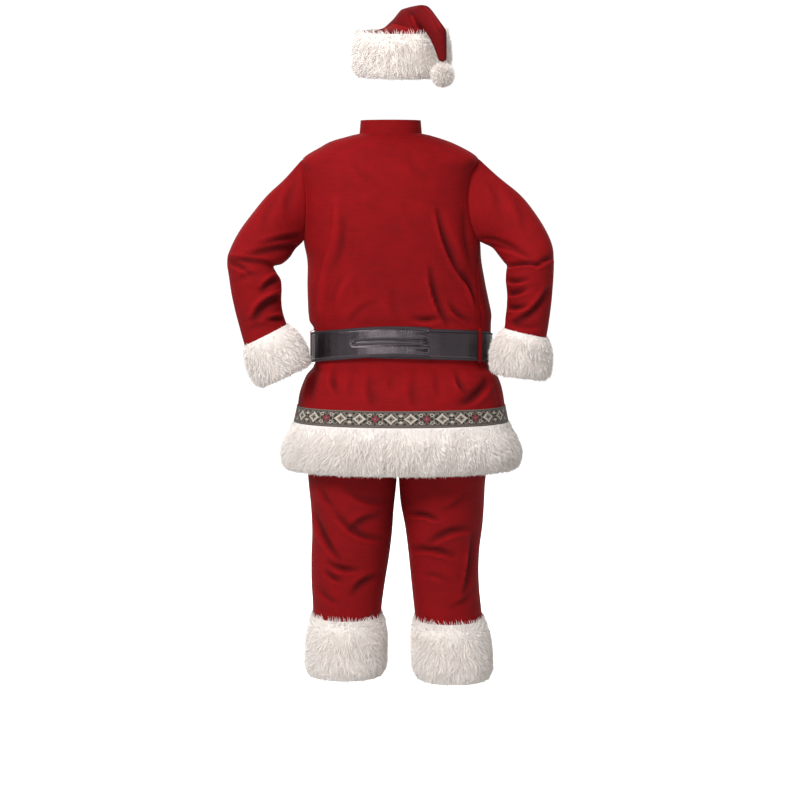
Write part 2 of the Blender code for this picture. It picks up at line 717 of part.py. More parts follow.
def buckle_frame():
    """Buckle: a plain rectangular frame on the straps at the front."""
    front = jacket_point(WAIST, 180.0)
    outside = front[1] - (2 * (BELT_WALL + LAY_GAP) + BELT_STAND + LAY_GAP)
    middle = np.array([front[0], outside, LEFT_STRAP[-1][1]])
    low, inwards = BUCKLE_EDGE
    outlines = []
    rim = ((0, 0), (0, BUCKLE_DEEP - low), (inwards, BUCKLE_DEEP), (BUCKLE_BAR - inwards, BUCKLE_DEEP),
           (BUCKLE_BAR, BUCKLE_DEEP - low), (BUCKLE_BAR, 0))
    for inset, depth in rim:
        half_x = BUCKLE_WIDTH / 2 - inset
        half_z = BUCKLE_HEIGHT / 2 - inset
        corner = BUCKLE_CORNERS[0] if inset < BUCKLE_BAR / 2 else BUCKLE_CORNERS[1]
        outlines.append([(middle[0] + x, middle[1] - depth, middle[2] + z)
                         for x, z in rounded_rectangle(half_x, half_z, corner)])
    loops = np.array(outlines).transpose(1, 0, 2)
    solid("buckle_frame", loops, BRASS)
    return middle


def rounded_rectangle(half_x, half_z, corner):
    """Outline points of a rectangle with three points at each rounded corner."""
    points = []
    for quarter in range(4):
        sign_x = (1, -1, -1, 1)[quarter]
        sign_z = (1, 1, -1, -1)[quarter]
        for step in range(3):
            turn = math.radians(90 * quarter + 45 * step)
            points.append((sign_x * (half_x - corner) + corner * math.cos(turn),
                           sign_z * (half_z - corner) + corner * math.sin(turn)))
    return points


def button(number, level):
    """Button: a domed disc that lies on the left front, on the middle line of the lap."""
    place = jacket_point(float(level), 180.0)
    mesh = bpy.data.meshes.new(f"button_{number}")
    body = bmesh.new()
    made = bmesh.ops.create_cone(body, cap_ends=True, segments=12, radius1=BUTTON_RADIUS * MM,
                                 radius2=BUTTON_TOP_RADIUS * MM, depth=BUTTON_DEEP * MM)
    bmesh.ops.rotate(body, verts=made["verts"], matrix=lean_of_front(level))
    away = (LAY_GAP + BUTTON_DEEP / 2) * MM
    normal = front_normal(level)
    bmesh.ops.translate(body, vec=[place[i] * MM + normal[i] * away for i in range(3)], verts=made["verts"])
    body.to_mesh(mesh)
    body.free()
    mesh.materials.append(BLACK_BUTTON)
    item = bpy.data.objects.new(f"button_{number}", mesh)
    bpy.context.scene.collection.objects.link(item)


def front_normal(level):
    """Outward normal of the front at its middle line."""
    upper = jacket_point(level + 10.0, 180.0)
    lower = jacket_point(level - 10.0, 180.0)
    rise = (upper - lower) / np.linalg.norm(upper - lower)
    return np.array([0.0, -rise[2], rise[1]])


def lean_of_front(level):
    """Turn that lays a disc's axis along the front's outward normal."""
    return Vector((0, 0, 1)).rotation_difference(Vector(front_normal(level))).to_matrix()


def hip_point(z, share):
    """Sizes of the hips at a level, and how far their section reaches across and along.

    share runs from the side seam at 0 to the middle seam at 1.
    """
    keys = [row[0] for row in HIPS]
    read = {name: column(HIPS, HIP_COLUMNS, name, keys, z) for name in HIP_COLUMNS[1:]}
    across, along = superellipse(np.radians(90 * (1 - share)), HIP_ROUND)
    return read, across, along


def trouser_grid(side, part, rows):
    """Panel points of one leg's back or front, from the outer seam to the inner seam."""
    z = rows[None, :]
    share = np.linspace(0, 1, PANEL_COLUMNS)[:, None]
    hips, across, along = hip_point(z, share + 0 * z)
    facing = 1 if part == "back" else -1
    hip_x = hips["middle"] + side * hips["half_width"] * across
    hip_y = facing * hips[part] * along
    legs = LEFT_LEG if side > 0 else RIGHT_LEG
    keys = [row[0] for row in legs]
    read = {name: column(legs, LEG_COLUMNS, name, keys, z) for name in LEG_COLUMNS[1:]}
    turn = math.pi * share
    mid_x = (read["outer"] + read["inner"]) / 2
    leg_x = mid_x + (read["outer"] - mid_x) * np.cos(turn)
    leg_y = LEG_MIDDLE + facing * read[part] * np.sin(turn) ** LEG_ROUND
    fork = np.clip((FORK_FROM - z) / (FORK_FROM - CROTCH), 0, 1) ** FORK_POWER
    x = hip_x * (1 - fork) + leg_x * fork
    y = hip_y * (1 - fork) + leg_y * fork
    return np.stack([x, y, z + 0 * x], axis=-1)


def seam_squared(normal, rows):
    """Turn the normals at a panel's seams into the seam's own plane, so that walls meet."""
    normal = normal.copy()
    normal[0, :, 1] = 0
    normal[-1, rows >= CROTCH, 0] = 0
    normal[-1, rows <= CROTCH, 1] = 0
    normal[-1, rows == CROTCH, 2] = -1
    return normal / np.linalg.norm(normal, axis=-1, keepdims=True)


def trouser_panel(side, part):
    """Trouser panel: half of one leg, joined at the outer, inner and middle seams."""
    name = "left" if side > 0 else "right"
    top, bottom = LEG_FUR[name]
    lower = np.linspace(CROTCH, top, LEG_ROWS)[1:]
    hidden = top + (bottom - top) * LEG_PILE[1][0]
    rows = np.array([*TROUSER_ROWS, *lower, hidden], float)
    grid = trouser_grid(side, part, rows)
    normal = seam_squared(normals(grid), rows)
    if part == "back":
        grid = creased(grid, normal, TROUSER_FOLDS, 1)
    grid = trimmed(grid, SEAM_GAP)
    cloth(f"trouser_{part}_{name}", grid, normal, RED_VELOUR)


def leg_ring(side, levels, turns):
    """Points round a leg at the levels given, for its plush band."""
    legs = LEFT_LEG if side > 0 else RIGHT_LEG
    keys = [row[0] for row in legs]
    z = np.asarray(levels, float)[None, :]
    angle = np.asarray(turns, float)[:, None] * 2 * math.pi
    read = {name: column(legs, LEG_COLUMNS, name, keys, z) for name in LEG_COLUMNS[1:]}
    mid_x = (read["outer"] + read["inner"]) / 2
    x = mid_x + (read["outer"] - mid_x) * np.cos(angle)
    wave = np.sign(np.sin(angle)) * np.abs(np.sin(angle)) ** LEG_ROUND
    y = LEG_MIDDLE + np.where(wave > 0, read["back"], read["front"]) * wave
    return np.stack([x, y, z + 0 * x], axis=-1)


def leg_fur(side):
    """Leg band: a plush tube round the end of the trouser leg."""
    name = "left" if side > 0 else "right"
    top, bottom = LEG_FUR[name]
    stations = np.array([place for place, _ in LEG_PILE])
    turns = np.arange(4 * (PANEL_COLUMNS - 1)) / (4 * (PANEL_COLUMNS - 1))
    grid = leg_ring(side, top + (bottom - top) * stations, turns)
    solid(f"leg_fur_{name}", piled(grid, tube_normals(grid), LEG_PILE, LEG_FUR_GAP), WHITE_PLUSH)


def waistband():
    """Waistband: a band of the same cloth that closes round the top of the trousers."""
    degrees = np.arange(WAISTBAND_SIDES) * 360 / WAISTBAND_SIDES
    z = np.array([WAIST_SEAM + SEAM_GAP, WAISTBAND_TOP], float)[None, :]
    keys = [row[0] for row in HIPS]
    read = {name: column(HIPS, HIP_COLUMNS, name, keys, z) for name in HIP_COLUMNS[1:]}
    across, along = superellipse(np.radians(degrees)[:, None], HIP_ROUND)
    depth = np.where(along > 0, read["back"], read["front"])
    grid = np.stack([read["middle"] + read["half_width"] * across, depth * along, z + 0 * across], axis=-1)
    cloth("waistband", grid, tube_normals(grid), RED_VELOUR, WAISTBAND_WALL, ring=True)


def crown_rings(places, wall):
    """Rings of the crown at places along its table, drawn in by the wall.

    The mouth follows the band's inside, and eases into the sections of the falling cone.
    """
    keys = np.arange(len(CROWN))
    read = {name: column(CROWN, CROWN_COLUMNS, name, keys, places) for name in CROWN_COLUMNS}
    fall = np.array([FALL[0], FALL[1], 0.0])
    across = np.array([FALL[1], -FALL[0], 0.0])
    rise = np.array([0.0, 0.0, 1.0])
    over = read["over"][:, None] * fall + read["over_z"][:, None] * rise
    under = read["under"][:, None] * fall + read["under_z"][:, None] * rise
    middle = (over + under) / 2
    reach = over - middle
    reach *= 1 - wall / np.linalg.norm(reach, axis=-1, keepdims=True)
    turn = (np.arange(CROWN_SIDES) * 2 * math.pi / CROWN_SIDES)[:, None, None]
    breadth = (read["deep"] - wall)[:, None] * across
    rings = middle + reach * np.cos(turn) + breadth * np.sin(turn)
    towards = -fall * np.cos(turn) + across * np.sin(turn)
    mouth = rings.copy()
    for axis in (0, 1):
        mouth[..., axis] = towards[..., axis] * (HAT_HALF[axis] - HAT_SLACK - wall)
    fade = np.clip(1 - places / 2, 0, 1)[None, :, None]
    return rings * (1 - fade) + mouth * fade + np.array([HAT_MIDDLE[0], HAT_MIDDLE[1], 0.0])


def crown():
    """Crown: a soft cone of velour that folds over and hangs outside the band."""
    places = np.linspace(0, len(CROWN) - 1, CROWN_RINGS)
    outer = crown_rings(places, 0.0)
    inner = crown_rings(places, VELOUR)
    tip = outer[:, -1].mean(axis=0)
    down = np.array([0.0, 0.0, -1.0])
    tip_out = np.repeat((tip + down * TIP_OUTSIDE)[None, None], CROWN_SIDES, axis=0)
    tip_in = np.repeat((tip + down * TIP_INSIDE)[None, None], CROWN_SIDES, axis=0)
    loops = np.concatenate([outer, tip_out, tip_in, inner[:, ::-1]], axis=1)
    solid("hat_crown", loops, RED_VELOUR, poles=(CROWN_RINGS, CROWN_RINGS + 1))
    return tip + down * TIP_OUTSIDE


def hat_band():
    """Cap band: a deep plush ring round the head, lower at the back."""
    stations = np.array([place for place, _ in HAT_PILE])
    degrees = (np.arange(HAT_COLUMNS) * 360 / HAT_COLUMNS)[:, None]
    x = HAT_MIDDLE[0] + HAT_HALF[0] * np.sin(np.radians(degrees)) + 0 * stations
    y = HAT_MIDDLE[1] + HAT_HALF[1] * np.cos(np.radians(degrees)) + 0 * stations
    z = HAT_BAND[0] + (HAT_BAND[1] - HAT_BAND[0]) * stations - HAT_TILT * y
    grid = np.stack([x, y, z], axis=-1)
    solid("hat_band", piled(grid, tube_normals(grid), HAT_PILE, HAT_GAP), WHITE_PLUSH)


def pompom(tip):
    """Pompom: a plush ball under the crown's tip."""
    mesh = bpy.data.meshes.new("pompom")
    body = bmesh.new()
    bmesh.ops.create_icosphere(body, subdivisions=2, radius=POMPOM_RADIUS * MM)
    top = (tip[2] - LAY_GAP - POMPOM_RADIUS) * MM
    bmesh.ops.translate(body, vec=(tip[0] * MM, tip[1] * MM, top), verts=body.verts)
    body.to_mesh(mesh)
    body.free()
    mesh.materials.append(WHITE_PLUSH)
    mesh.shade_smooth()
    item = bpy.data.objects.new("pompom", mesh)
    bpy.context.scene.collection.objects.link(item)


jacket_back()
for side in (1, -1):
    jacket_front(side)
    sleeve(side)
    sleeve_cuff(side)
    for part in ("back", "front"):
        trouser_panel(side, part)
    leg_fur(side)
hem_braid()
hem_fur()
collar()
strap("belt_strap_left", LEFT_STRAP, (LEFT_STRAP[0][0], RIGHT_STRAP[-1][0]))
strap("belt_strap_right", RIGHT_STRAP, (RIGHT_STRAP[0][0], LEFT_STRAP[-1][0] - 360))
for name, (degrees, table) in zip(("belt_loop_left", "belt_loop_right"), LOOPS):
    belt_loop(name, degrees, strap_height(table, degrees))
centre = buckle_frame()
centre[1] -= BUCKLE_DEEP + LAY_GAP + PRONG[1] / 2
rounded_box("buckle_prong", PRONG, centre, BRASS, PRONG_BEVEL)
for number, level in enumerate(BUTTONS, start=1):
    button(number, level)
waistband()
pompom(crown())
hat_band()
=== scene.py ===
# Santa suit in its worn form, seen from behind: a belted jacket of red velour with long
# white plush at the hem and cuffs, trousers with plush bands, and a falling cap. Sizes in
# the tables are millimetres. The front faces -Y and the wearer's left is +X.

import math

import bpy
import numpy as np
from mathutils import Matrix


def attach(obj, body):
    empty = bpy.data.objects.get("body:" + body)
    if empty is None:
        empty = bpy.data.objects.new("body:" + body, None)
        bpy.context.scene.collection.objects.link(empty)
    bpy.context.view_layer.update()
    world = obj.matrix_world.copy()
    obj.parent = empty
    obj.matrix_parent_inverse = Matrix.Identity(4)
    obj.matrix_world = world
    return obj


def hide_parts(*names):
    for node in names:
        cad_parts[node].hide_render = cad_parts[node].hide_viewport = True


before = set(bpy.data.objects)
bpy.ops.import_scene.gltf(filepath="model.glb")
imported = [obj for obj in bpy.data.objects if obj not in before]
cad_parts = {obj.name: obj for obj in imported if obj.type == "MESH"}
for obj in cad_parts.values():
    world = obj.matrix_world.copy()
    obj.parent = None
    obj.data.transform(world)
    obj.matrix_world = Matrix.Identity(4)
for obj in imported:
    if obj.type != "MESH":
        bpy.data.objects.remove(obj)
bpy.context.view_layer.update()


# Jacket back: one panel of stretch velour from side seam to side seam, cut to the shoulder
# seams and the neck. It hangs from the shoulders and is drawn in by the belt, so creases run
# down from the armholes and a few short ones lie above and below the belt.
MM = 0.001
WALL = 2.0
SEAM_GAP = 0.12
SEAM_DEPTH = 1.5
SEAM_REACH = 4.0
SHARP_EDGE = math.radians(50)

JACKET_COLUMNS = ("z", "middle", "half_width", "back", "front", "round", "seam_left", "seam_right")
JACKET = (
    (0, 22, 74, 56, 62, 2.0, 84, 80),
    (-8, 22, 102, 66, 72, 2.0, 84, 80),
    (-17, 24, 132, 76, 82, 2.1, 84, 80),
    (-35, 21, 170, 88, 95, 2.2, 84, 80),
    (-59, 22, 207, 100, 108, 2.3, 84, 80),
    (-90, 27, 203, 112, 122, 2.4, 84, 80),
    (-150, 28, 200, 124, 138, 2.4, 84, 80),
    (-200, 25, 204, 129, 146, 2.4, 84, 79),
    (-255, 19, 210, 130, 152, 2.4, 84, 77),
    (-300, 14, 207, 127, 156, 2.4, 84, 68),
    (-358, 9, 212, 122, 160, 2.4, 84, 62),
    (-400, 4, 216, 118, 163, 2.4, 84, 60),
    (-434, 0, 218, 116, 164, 2.4, 84, 60),
    (-449, -1, 216, 112, 158, 2.4, 84, 60),
    (-457, -4, 213, 112, 158, 2.4, 84, 60),
    (-500, -4, 213, 112, 158, 2.4, 84, 60),
    (-558, -4, 213, 112, 158, 2.4, 84, 62),
    (-572, -4, 226, 128, 170, 2.3, 84, 64),
    (-592, -4, 236, 143, 178, 2.3, 84, 66),
    (-614, -3, 243, 153, 183, 2.2, 84, 68),
    (-650, -3, 249, 163, 187, 2.2, 84, 68),
    (-690, -3, 257, 170, 191, 2.2, 84, 68),
    (-725, -3, 264, 176, 195, 2.2, 84, 68),
    (-765, -3, 268, 181, 198, 2.2, 84, 68),
    (-805, -3, 271, 184, 200, 2.2, 84, 68),
)
NECK_DROP = 38
NECK_DROP_FROM = -170
SHOULDER_TIP = -59
ARMPIT = -255
ARMHOLE_BACK = 15
ARMHOLE_FRONT = 24
RED_HEM = -703

# Each fold: its two ends as seen from behind or before, how far its middle bows to the left
# of its run, its half breadth, its depth, and the share of that which stands up beside it.
BACK_FOLDS = (
    (-89, -188, -150, -344, 9, 9, 6.5, 0.6),
    (-150, -335, -183, -402, -4, 10, 7.5, 0.6),
    (-152, -190, -172, -330, 6, 9, 4, -0.4),
    (-112, -205, -168, -320, 8, 14, -3, 0.0),
    (-71, -322, -110, -446, 7, 9, 6.5, 0.6),
    (-34, -436, -92, -434, 4, 9, 5.5, 0.6),
    (-120, -404, -160, -440, 5, 9, 5.5, 0.5),
    (150, -160, 172, -300, -6, 9, -4.5, 0.0),
    (134, -200, 152, -310, -6, 10, 3.5, 0.3),
    (172, -294, 190, -420, 4, 9, -4.5, 0.0),
    (116, -336, 146, -404, 6, 12, -3.5, 0.4),
    (60, -395, 120, -444, 8, 10, 2.5, 0.5),
    (20, -370, 6, -446, 4, 13, 2, 0.5),
    (-20, -60, -60, -110, 8, 16, 1.6, 0.4),
    (110, -70, 60, -118, 8, 16, 1.6, 0.4),
    (-134, -566, -152, -604, 4, 9, 5.5, 0.5),
    (-143, -636, -218, -566, 10, 13, 8, 0.5),
    (158, -562, 152, -604, 4, 10, 4.5, 0.5),
    (196, -566, 214, -630, 5, 12, 4, 0.5),
    (70, -566, 62, -640, 5, 13, 3.5, 0.5),
    (-30, -568, -36, -646, 5, 14, 3.2, 0.5),
    (20, -566, 24, -600, 2, 10, 2.4, 0.5),
    (-84, -566, -90, -610, 3, 10, 2.6, 0.5),
    (112, -566, 118, -612, 3, 10, 2.4, 0.5),
)
FOLD_STRENGTH = 1.2
FULL_CREASE = 5.5
CRISP_SIDE = 1.7
EDGE_FADE = 14.0
HEM_CALM = (-648, -628)
FOLD_ENDS = 0.45
RIDGE_OFF = 1.8
RIDGE_SPREAD = 0.8
FACING_FADE = 2.5
# Each wave: its turn over x and over z in radians a millimetre, its phase and its height.
WAVES = (
    (0.021, 0.008, 0.4, 0.6),
    (-0.013, 0.019, 2.1, 0.5),
    (0.034, -0.022, 4.0, 0.3),
    (0.009, 0.043, 1.3, 0.3),
)
BACK_COUNT = 104
# Rows of points up to the armpit, round the armhole and above it.
BACK_ROWS = (86, 40, 12)
CLOSE_SHARES = (0.0, 0.003, 0.006, 0.010)
EVEN_SHARES = (0.016, 0.984)
STEP_ROUND = 0.5
STEP_UP = 2


def smooth_curve(keys, values, at):
    """Cubic curve through the values at the keys, with slopes from the neighbours."""
    keys = np.asarray(keys, float)
    values = np.asarray(values, float)
    order = np.argsort(keys)
    keys, values = keys[order], values[order]
    slopes = np.gradient(values, keys)
    at = np.clip(at, keys[0], keys[-1])
    low = np.clip(np.searchsorted(keys, at) - 1, 0, len(keys) - 2)
    span = keys[low + 1] - keys[low]
    t = (at - keys[low]) / span
    ease = t * t * (3 - 2 * t)
    rise = span * (t * (1 - t) ** 2 * slopes[low] - t * t * (1 - t) * slopes[low + 1])
    return values[low] * (1 - ease) + values[low + 1] * ease + rise


def column(table, columns, name, keys, at):
    """One named column of a table, read as a smooth curve over the keys."""
    return smooth_curve(keys, [row[columns.index(name)] for row in table], at)


def jacket_column(name, z):
    """One named column of the jacket's table at the levels z."""
    return column(JACKET, JACKET_COLUMNS, name, [row[0] for row in JACKET], z)


def superellipse(angle, power):
    """Sine and cosine of the angle, each raised to two over the power with its sign kept."""
    across = np.sin(angle)
    along = np.cos(angle)
    return (np.sign(across) * np.abs(across) ** (2 / power),
            np.sign(along) * np.abs(along) ** (2 / power))


def jacket_point(z, degrees):
    """The body's face: a superellipse section at each level, its neckline dropped in front."""
    z, degrees = np.broadcast_arrays(np.asarray(z, float), np.asarray(degrees, float))
    across, along = superellipse(np.radians(degrees), jacket_column("round", z))
    depth = np.where(along > 0, jacket_column("back", z), jacket_column("front", z))
    fade = np.clip((z - NECK_DROP_FROM) / -NECK_DROP_FROM, 0, 1) ** 2
    drop = NECK_DROP * fade * np.clip(-along, 0, 1) ** 1.5
    x = jacket_column("middle", z) + jacket_column("half_width", z) * across
    return np.stack([x, depth * along, z - drop], axis=-1)


def jacket_normal(z, degrees):
    """Cross product of the face's small steps up and round, at unit length."""
    z, degrees = np.broadcast_arrays(np.asarray(z, float), np.asarray(degrees, float))
    around = jacket_point(z, degrees + STEP_ROUND) - jacket_point(z, degrees - STEP_ROUND)
    upper = np.minimum(z + STEP_UP, 0)
    rise = jacket_point(upper, degrees) - jacket_point(upper - 2 * STEP_UP, degrees)
    normal = np.cross(rise, around)
    return normal / np.linalg.norm(normal, axis=-1, keepdims=True)


def panel_edge(z, side, part):
    """Angle of a panel's side edge: the side seam, then half an ellipse for the armhole."""
    seam = jacket_column("seam_left" if side > 0 else "seam_right", np.minimum(z, ARMPIT))
    rise = np.clip((z - ARMPIT) / (SHOULDER_TIP - ARMPIT), 0, 1)
    swell = np.sqrt(np.clip(4 * rise * (1 - rise), 0, 1))
    reach = -ARMHOLE_BACK if part == "back" else ARMHOLE_FRONT
    return side * (seam + (90 - seam) * rise + reach * swell)


def body_levels(low, armhole, yoke):
    """Levels up a body panel: even up to the armpit, cosine spaced round the armhole, even above."""
    turn = np.linspace(math.pi, 0, armhole)
    middle, half = (SHOULDER_TIP + ARMPIT) / 2, (SHOULDER_TIP - ARMPIT) / 2
    return np.concatenate([np.linspace(RED_HEM, ARMPIT, low)[:-1], middle + half * np.cos(turn),
                           np.linspace(SHOULDER_TIP, 0, yoke)[1:]])


def shares(count):
    """Places from 0 to 1 with a few close ones at both ends, where a seam draws the cloth in."""
    close = np.array(CLOSE_SHARES)
    return np.concatenate([close, np.linspace(*EVEN_SHARES, count - 2 * len(close)), 1 - close[::-1]])


def waved(points):
    """Unevenness of hanging cloth in millimetres: a sum of long sine waves over x and z."""
    height = np.zeros(points.shape[:-1])
    for along_x, along_z, phase, size in WAVES:
        height += size * np.sin(along_x * points[..., 0] + along_z * points[..., 2] + phase)
    return height


def edge_distance(grid, ring=False):
    """Distance of each point along its row and its column from the nearest sewn edge."""
    near = np.full(grid.shape[:2], np.inf)
    for axis in (1,) if ring else (0, 1):
        step = np.linalg.norm(np.diff(grid, axis=axis), axis=-1)
        run = np.cumsum(np.insert(step, 0, 0.0, axis=axis), axis=axis)
        near = np.minimum(near, np.minimum(run, run.take([-1], axis=axis) - run))
    return near


def folded(grid, normal, folds, facing, keep=None):
    """Move points in by each fold: depth times a Gaussian of the distance from a bowed line.

    A lower Gaussian to the left of the run stands up as the fold's ridge, and that side of
    the trough is the steeper one. keep is the share of each fold left at a point. Also gives
    how deep in a crease each point lies.
    """
    depth = np.zeros(grid.shape[:2])
    for x0, z0, x1, z1, bow, breadth, deep, ridge in folds:
        run_x, run_z = x1 - x0, z1 - z0
        length = math.hypot(run_x, run_z)
        from_x, from_z = grid[..., 0] - x0, grid[..., 2] - z0
        place = (from_x * run_x + from_z * run_z) / length ** 2
        inside = np.clip(place, 0, 1)
        side = (from_z * run_x - from_x * run_z) / length - bow * 4 * inside * (1 - inside)
        past = (place - inside) * length / breadth
        taper = (FOLD_ENDS + (1 - FOLD_ENDS) * np.sin(math.pi * inside)) * np.exp(-past ** 2)
        across = side / breadth * np.where(side > 0, CRISP_SIDE, 1.0)
        lift = ridge * np.exp(-(np.abs(across) - RIDGE_OFF) ** 2 / RIDGE_SPREAD) * (across > 0)
        depth += deep * taper * (np.exp(-across ** 2) - lift)
    depth *= np.clip(normal[..., 1] * facing * FACING_FADE, 0, 1) * (1 if keep is None else keep)
    return grid - normal * (depth * FOLD_STRENGTH)[..., None], np.clip(depth / FULL_CREASE, -1, 1)


def cloth_face(face, normal, folds, facing, ring=False, calm=None):
    """Lay the folds and waves on a panel, calm at its edges, and sink its sewn edges.

    calm is a pair of levels below and above which the folds are gone and whole. Gives the
    face and how deep in a crease each point lies.
    """
    near = edge_distance(face, ring)
    still = 1 - np.exp(-(near / EDGE_FADE) ** 2)
    keep = still
    if calm is not None:
        keep = still * np.clip((face[..., 2] - calm[0]) / (calm[1] - calm[0]), 0, 1)
    crease = 0
    for table, side in zip(folds, facing):
        face, deeper = folded(face, normal, table, side, keep)
        crease = crease + deeper
    sink = waved(face) * still + SEAM_DEPTH * np.exp(-(near / SEAM_REACH) ** 2)
    return face - normal * sink[..., None], crease


def trimmed(grid, gap):
    """Draw the two side edges of a panel back along its rows by a seam's half gap."""
    grid = grid.copy()
    for edge, next_one in ((0, 3), (-1, -4)):
        run = grid[next_one] - grid[edge]
        run /= np.linalg.norm(run, axis=-1, keepdims=True)
        grid[edge] += run * gap
    return grid


def piece(name, points, faces, material, corner_uv=None, crease=None):
    """A suit piece from points in millimetres and faces of one size, turned outwards.

    corner_uv gives each face corner its place on the flat cloth, in metres, and crease
    gives each point its depth in a fold, which the cloth's material paints as shade in the
    fold and as a highlight on its ridge.
    """
    a, b, c = (points[faces[:, i]] for i in range(3))
    volume = np.sum(a * np.cross(b, c))
    if faces.shape[1] == 4:
        volume += np.sum(a * np.cross(c, points[faces[:, 3]]))
    if volume < 0:
        faces = faces[:, ::-1]
        corner_uv = None if corner_uv is None else corner_uv[:, ::-1]
    mesh = bpy.data.meshes.new(name)
    count, corners = faces.shape
    mesh.vertices.add(len(points))
    mesh.vertices.foreach_set("co", (points * MM).astype(np.float32).ravel())
    mesh.loops.add(count * corners)
    mesh.loops.foreach_set("vertex_index", faces.astype(np.int32).ravel())
    mesh.polygons.add(count)
    mesh.polygons.foreach_set("loop_start", np.arange(0, count * corners, corners, dtype=np.int32))
    mesh.update(calc_edges=True)
    if corner_uv is not None:
        mesh.uv_layers.new(name="cloth").data.foreach_set("uv", corner_uv.astype(np.float32).ravel())
    if crease is not None:
        shade = mesh.attributes.new("crease", "FLOAT", "POINT")
        shade.data.foreach_set("value", crease.astype(np.float32).ravel())
    mesh.shade_smooth()
    mesh.set_sharp_from_angle(angle=SHARP_EDGE)
    mesh.materials.append(material)
    item = bpy.data.objects.new(name, mesh)
    bpy.context.scene.collection.objects.link(item)
    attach(item, "root")
    return item


def lengths(grid, ring=False):
    """Running length in metres along the middle row and along the middle column of a grid."""
    row = grid[:, grid.shape[1] // 2]
    if ring:
        row = np.concatenate([row, row[:1]])
    line = grid[grid.shape[0] // 2]
    return tuple(np.concatenate([[0], np.cumsum(np.linalg.norm(np.diff(run, axis=0), axis=-1))]) * MM
                 for run in (row, line))


def shell(name, face, normal, material, wall=WALL, ring=False, run=None, loops=None, crease=None):
    """Closed wall: the outer face, the same points moved in by the wall, and rims between.

    The first axis of the grid is the stations, round or across, and the second its rows.
    """
    if loops is None:
        loops = np.concatenate([face, (face - normal * wall)[:, ::-1]], axis=1)
    stations, count = loops.shape[:2]
    across, up = lengths(face, ring) if run is None else run
    level = np.concatenate([up, up[::-1]])
    index = np.arange(stations * count).reshape(stations, count)
    k, j = np.meshgrid(np.arange(stations if ring else stations - 1), np.arange(count), indexing="ij")
    beyond, after = (k + 1) % stations, (j + 1) % count
    faces = np.stack([index[k, j], index[k, after], index[beyond, after], index[beyond, j]], axis=-1)
    flat = np.stack([np.stack([across[s], level[p]], axis=-1)
                     for s, p in ((k, j), (k, after), (k + 1, after), (k + 1, j))], axis=-2)
    faces, flat = faces.reshape(-1, 4), flat.reshape(-1, 4, 2)
    if not ring:
        j = np.arange(count // 2 - 1)
        for k, order in ((0, (j + 1, j, count - 1 - j, count - 2 - j)),
                         (stations - 1, (j, j + 1, count - 2 - j, count - 1 - j))):
            faces = np.concatenate([faces, np.stack([index[k, p] for p in order], axis=-1)])
            cap = np.stack([np.stack([across[k] + 0 * level[p], level[p]], axis=-1) for p in order], axis=-2)
            flat = np.concatenate([flat, cap])
    if crease is not None:
        crease = np.concatenate([crease, np.zeros((stations, count - crease.shape[1]))], axis=1)
    return piece(name, loops.reshape(-1, 3), faces, material, flat, crease)


def linear(code):
    """Linear red, green, blue and alpha of an sRGB colour in six hex digits."""
    parts = [int(code[i:i + 2], 16) / 255 for i in (0, 2, 4)]
    return (*(p / 12.92 if p <= 0.04045 else ((p + 0.055) / 1.055) ** 2.4 for p in parts), 1.0)


def add(tree, kind, inputs=None, **settings):
    """Add a shader node, set its properties, and set or link its inputs."""
    node = tree.nodes.new("ShaderNode" + kind)
    for name, value in settings.items():
        setattr(node, name, value)
    for name, value in (inputs or {}).items():
        if isinstance(value, bpy.types.NodeSocket):
            tree.links.new(value, node.inputs[name])
        else:
            node.inputs[name].default_value = value
    return node


def new_material(name):
    """A material with its node tree and its Principled shader."""
    material = bpy.data.materials.new(name)
    material.use_nodes = True
    return material, material.node_tree, material.node_tree.nodes["Principled BSDF"]


# Stretch velour: knitted polyester with a short cut pile. The pile scatters light softly and
# shows faint slubs across the cloth and broad patches where it was stroked another way.
VELOUR_DARK = "3A0307"
VELOUR_MID = "7F070C"
VELOUR_LIGHT = "8D0A10"
# The darkest colour below, with CREASE_SHADE and RIDGE_LIGHT, is painted shade in folds and painted
# highlight on the ridges beside them.
VELOUR_PAINTED_SHADE = "180103"
VELOUR_SHEEN = "D02A30"
VELOUR_PATCH = 0.06
VELOUR_SLUB = (0.05, 0.004)
VELOUR_PILE = 0.0022
CREASE_SHADE = 0.65
RIDGE_LIGHT = 0.6


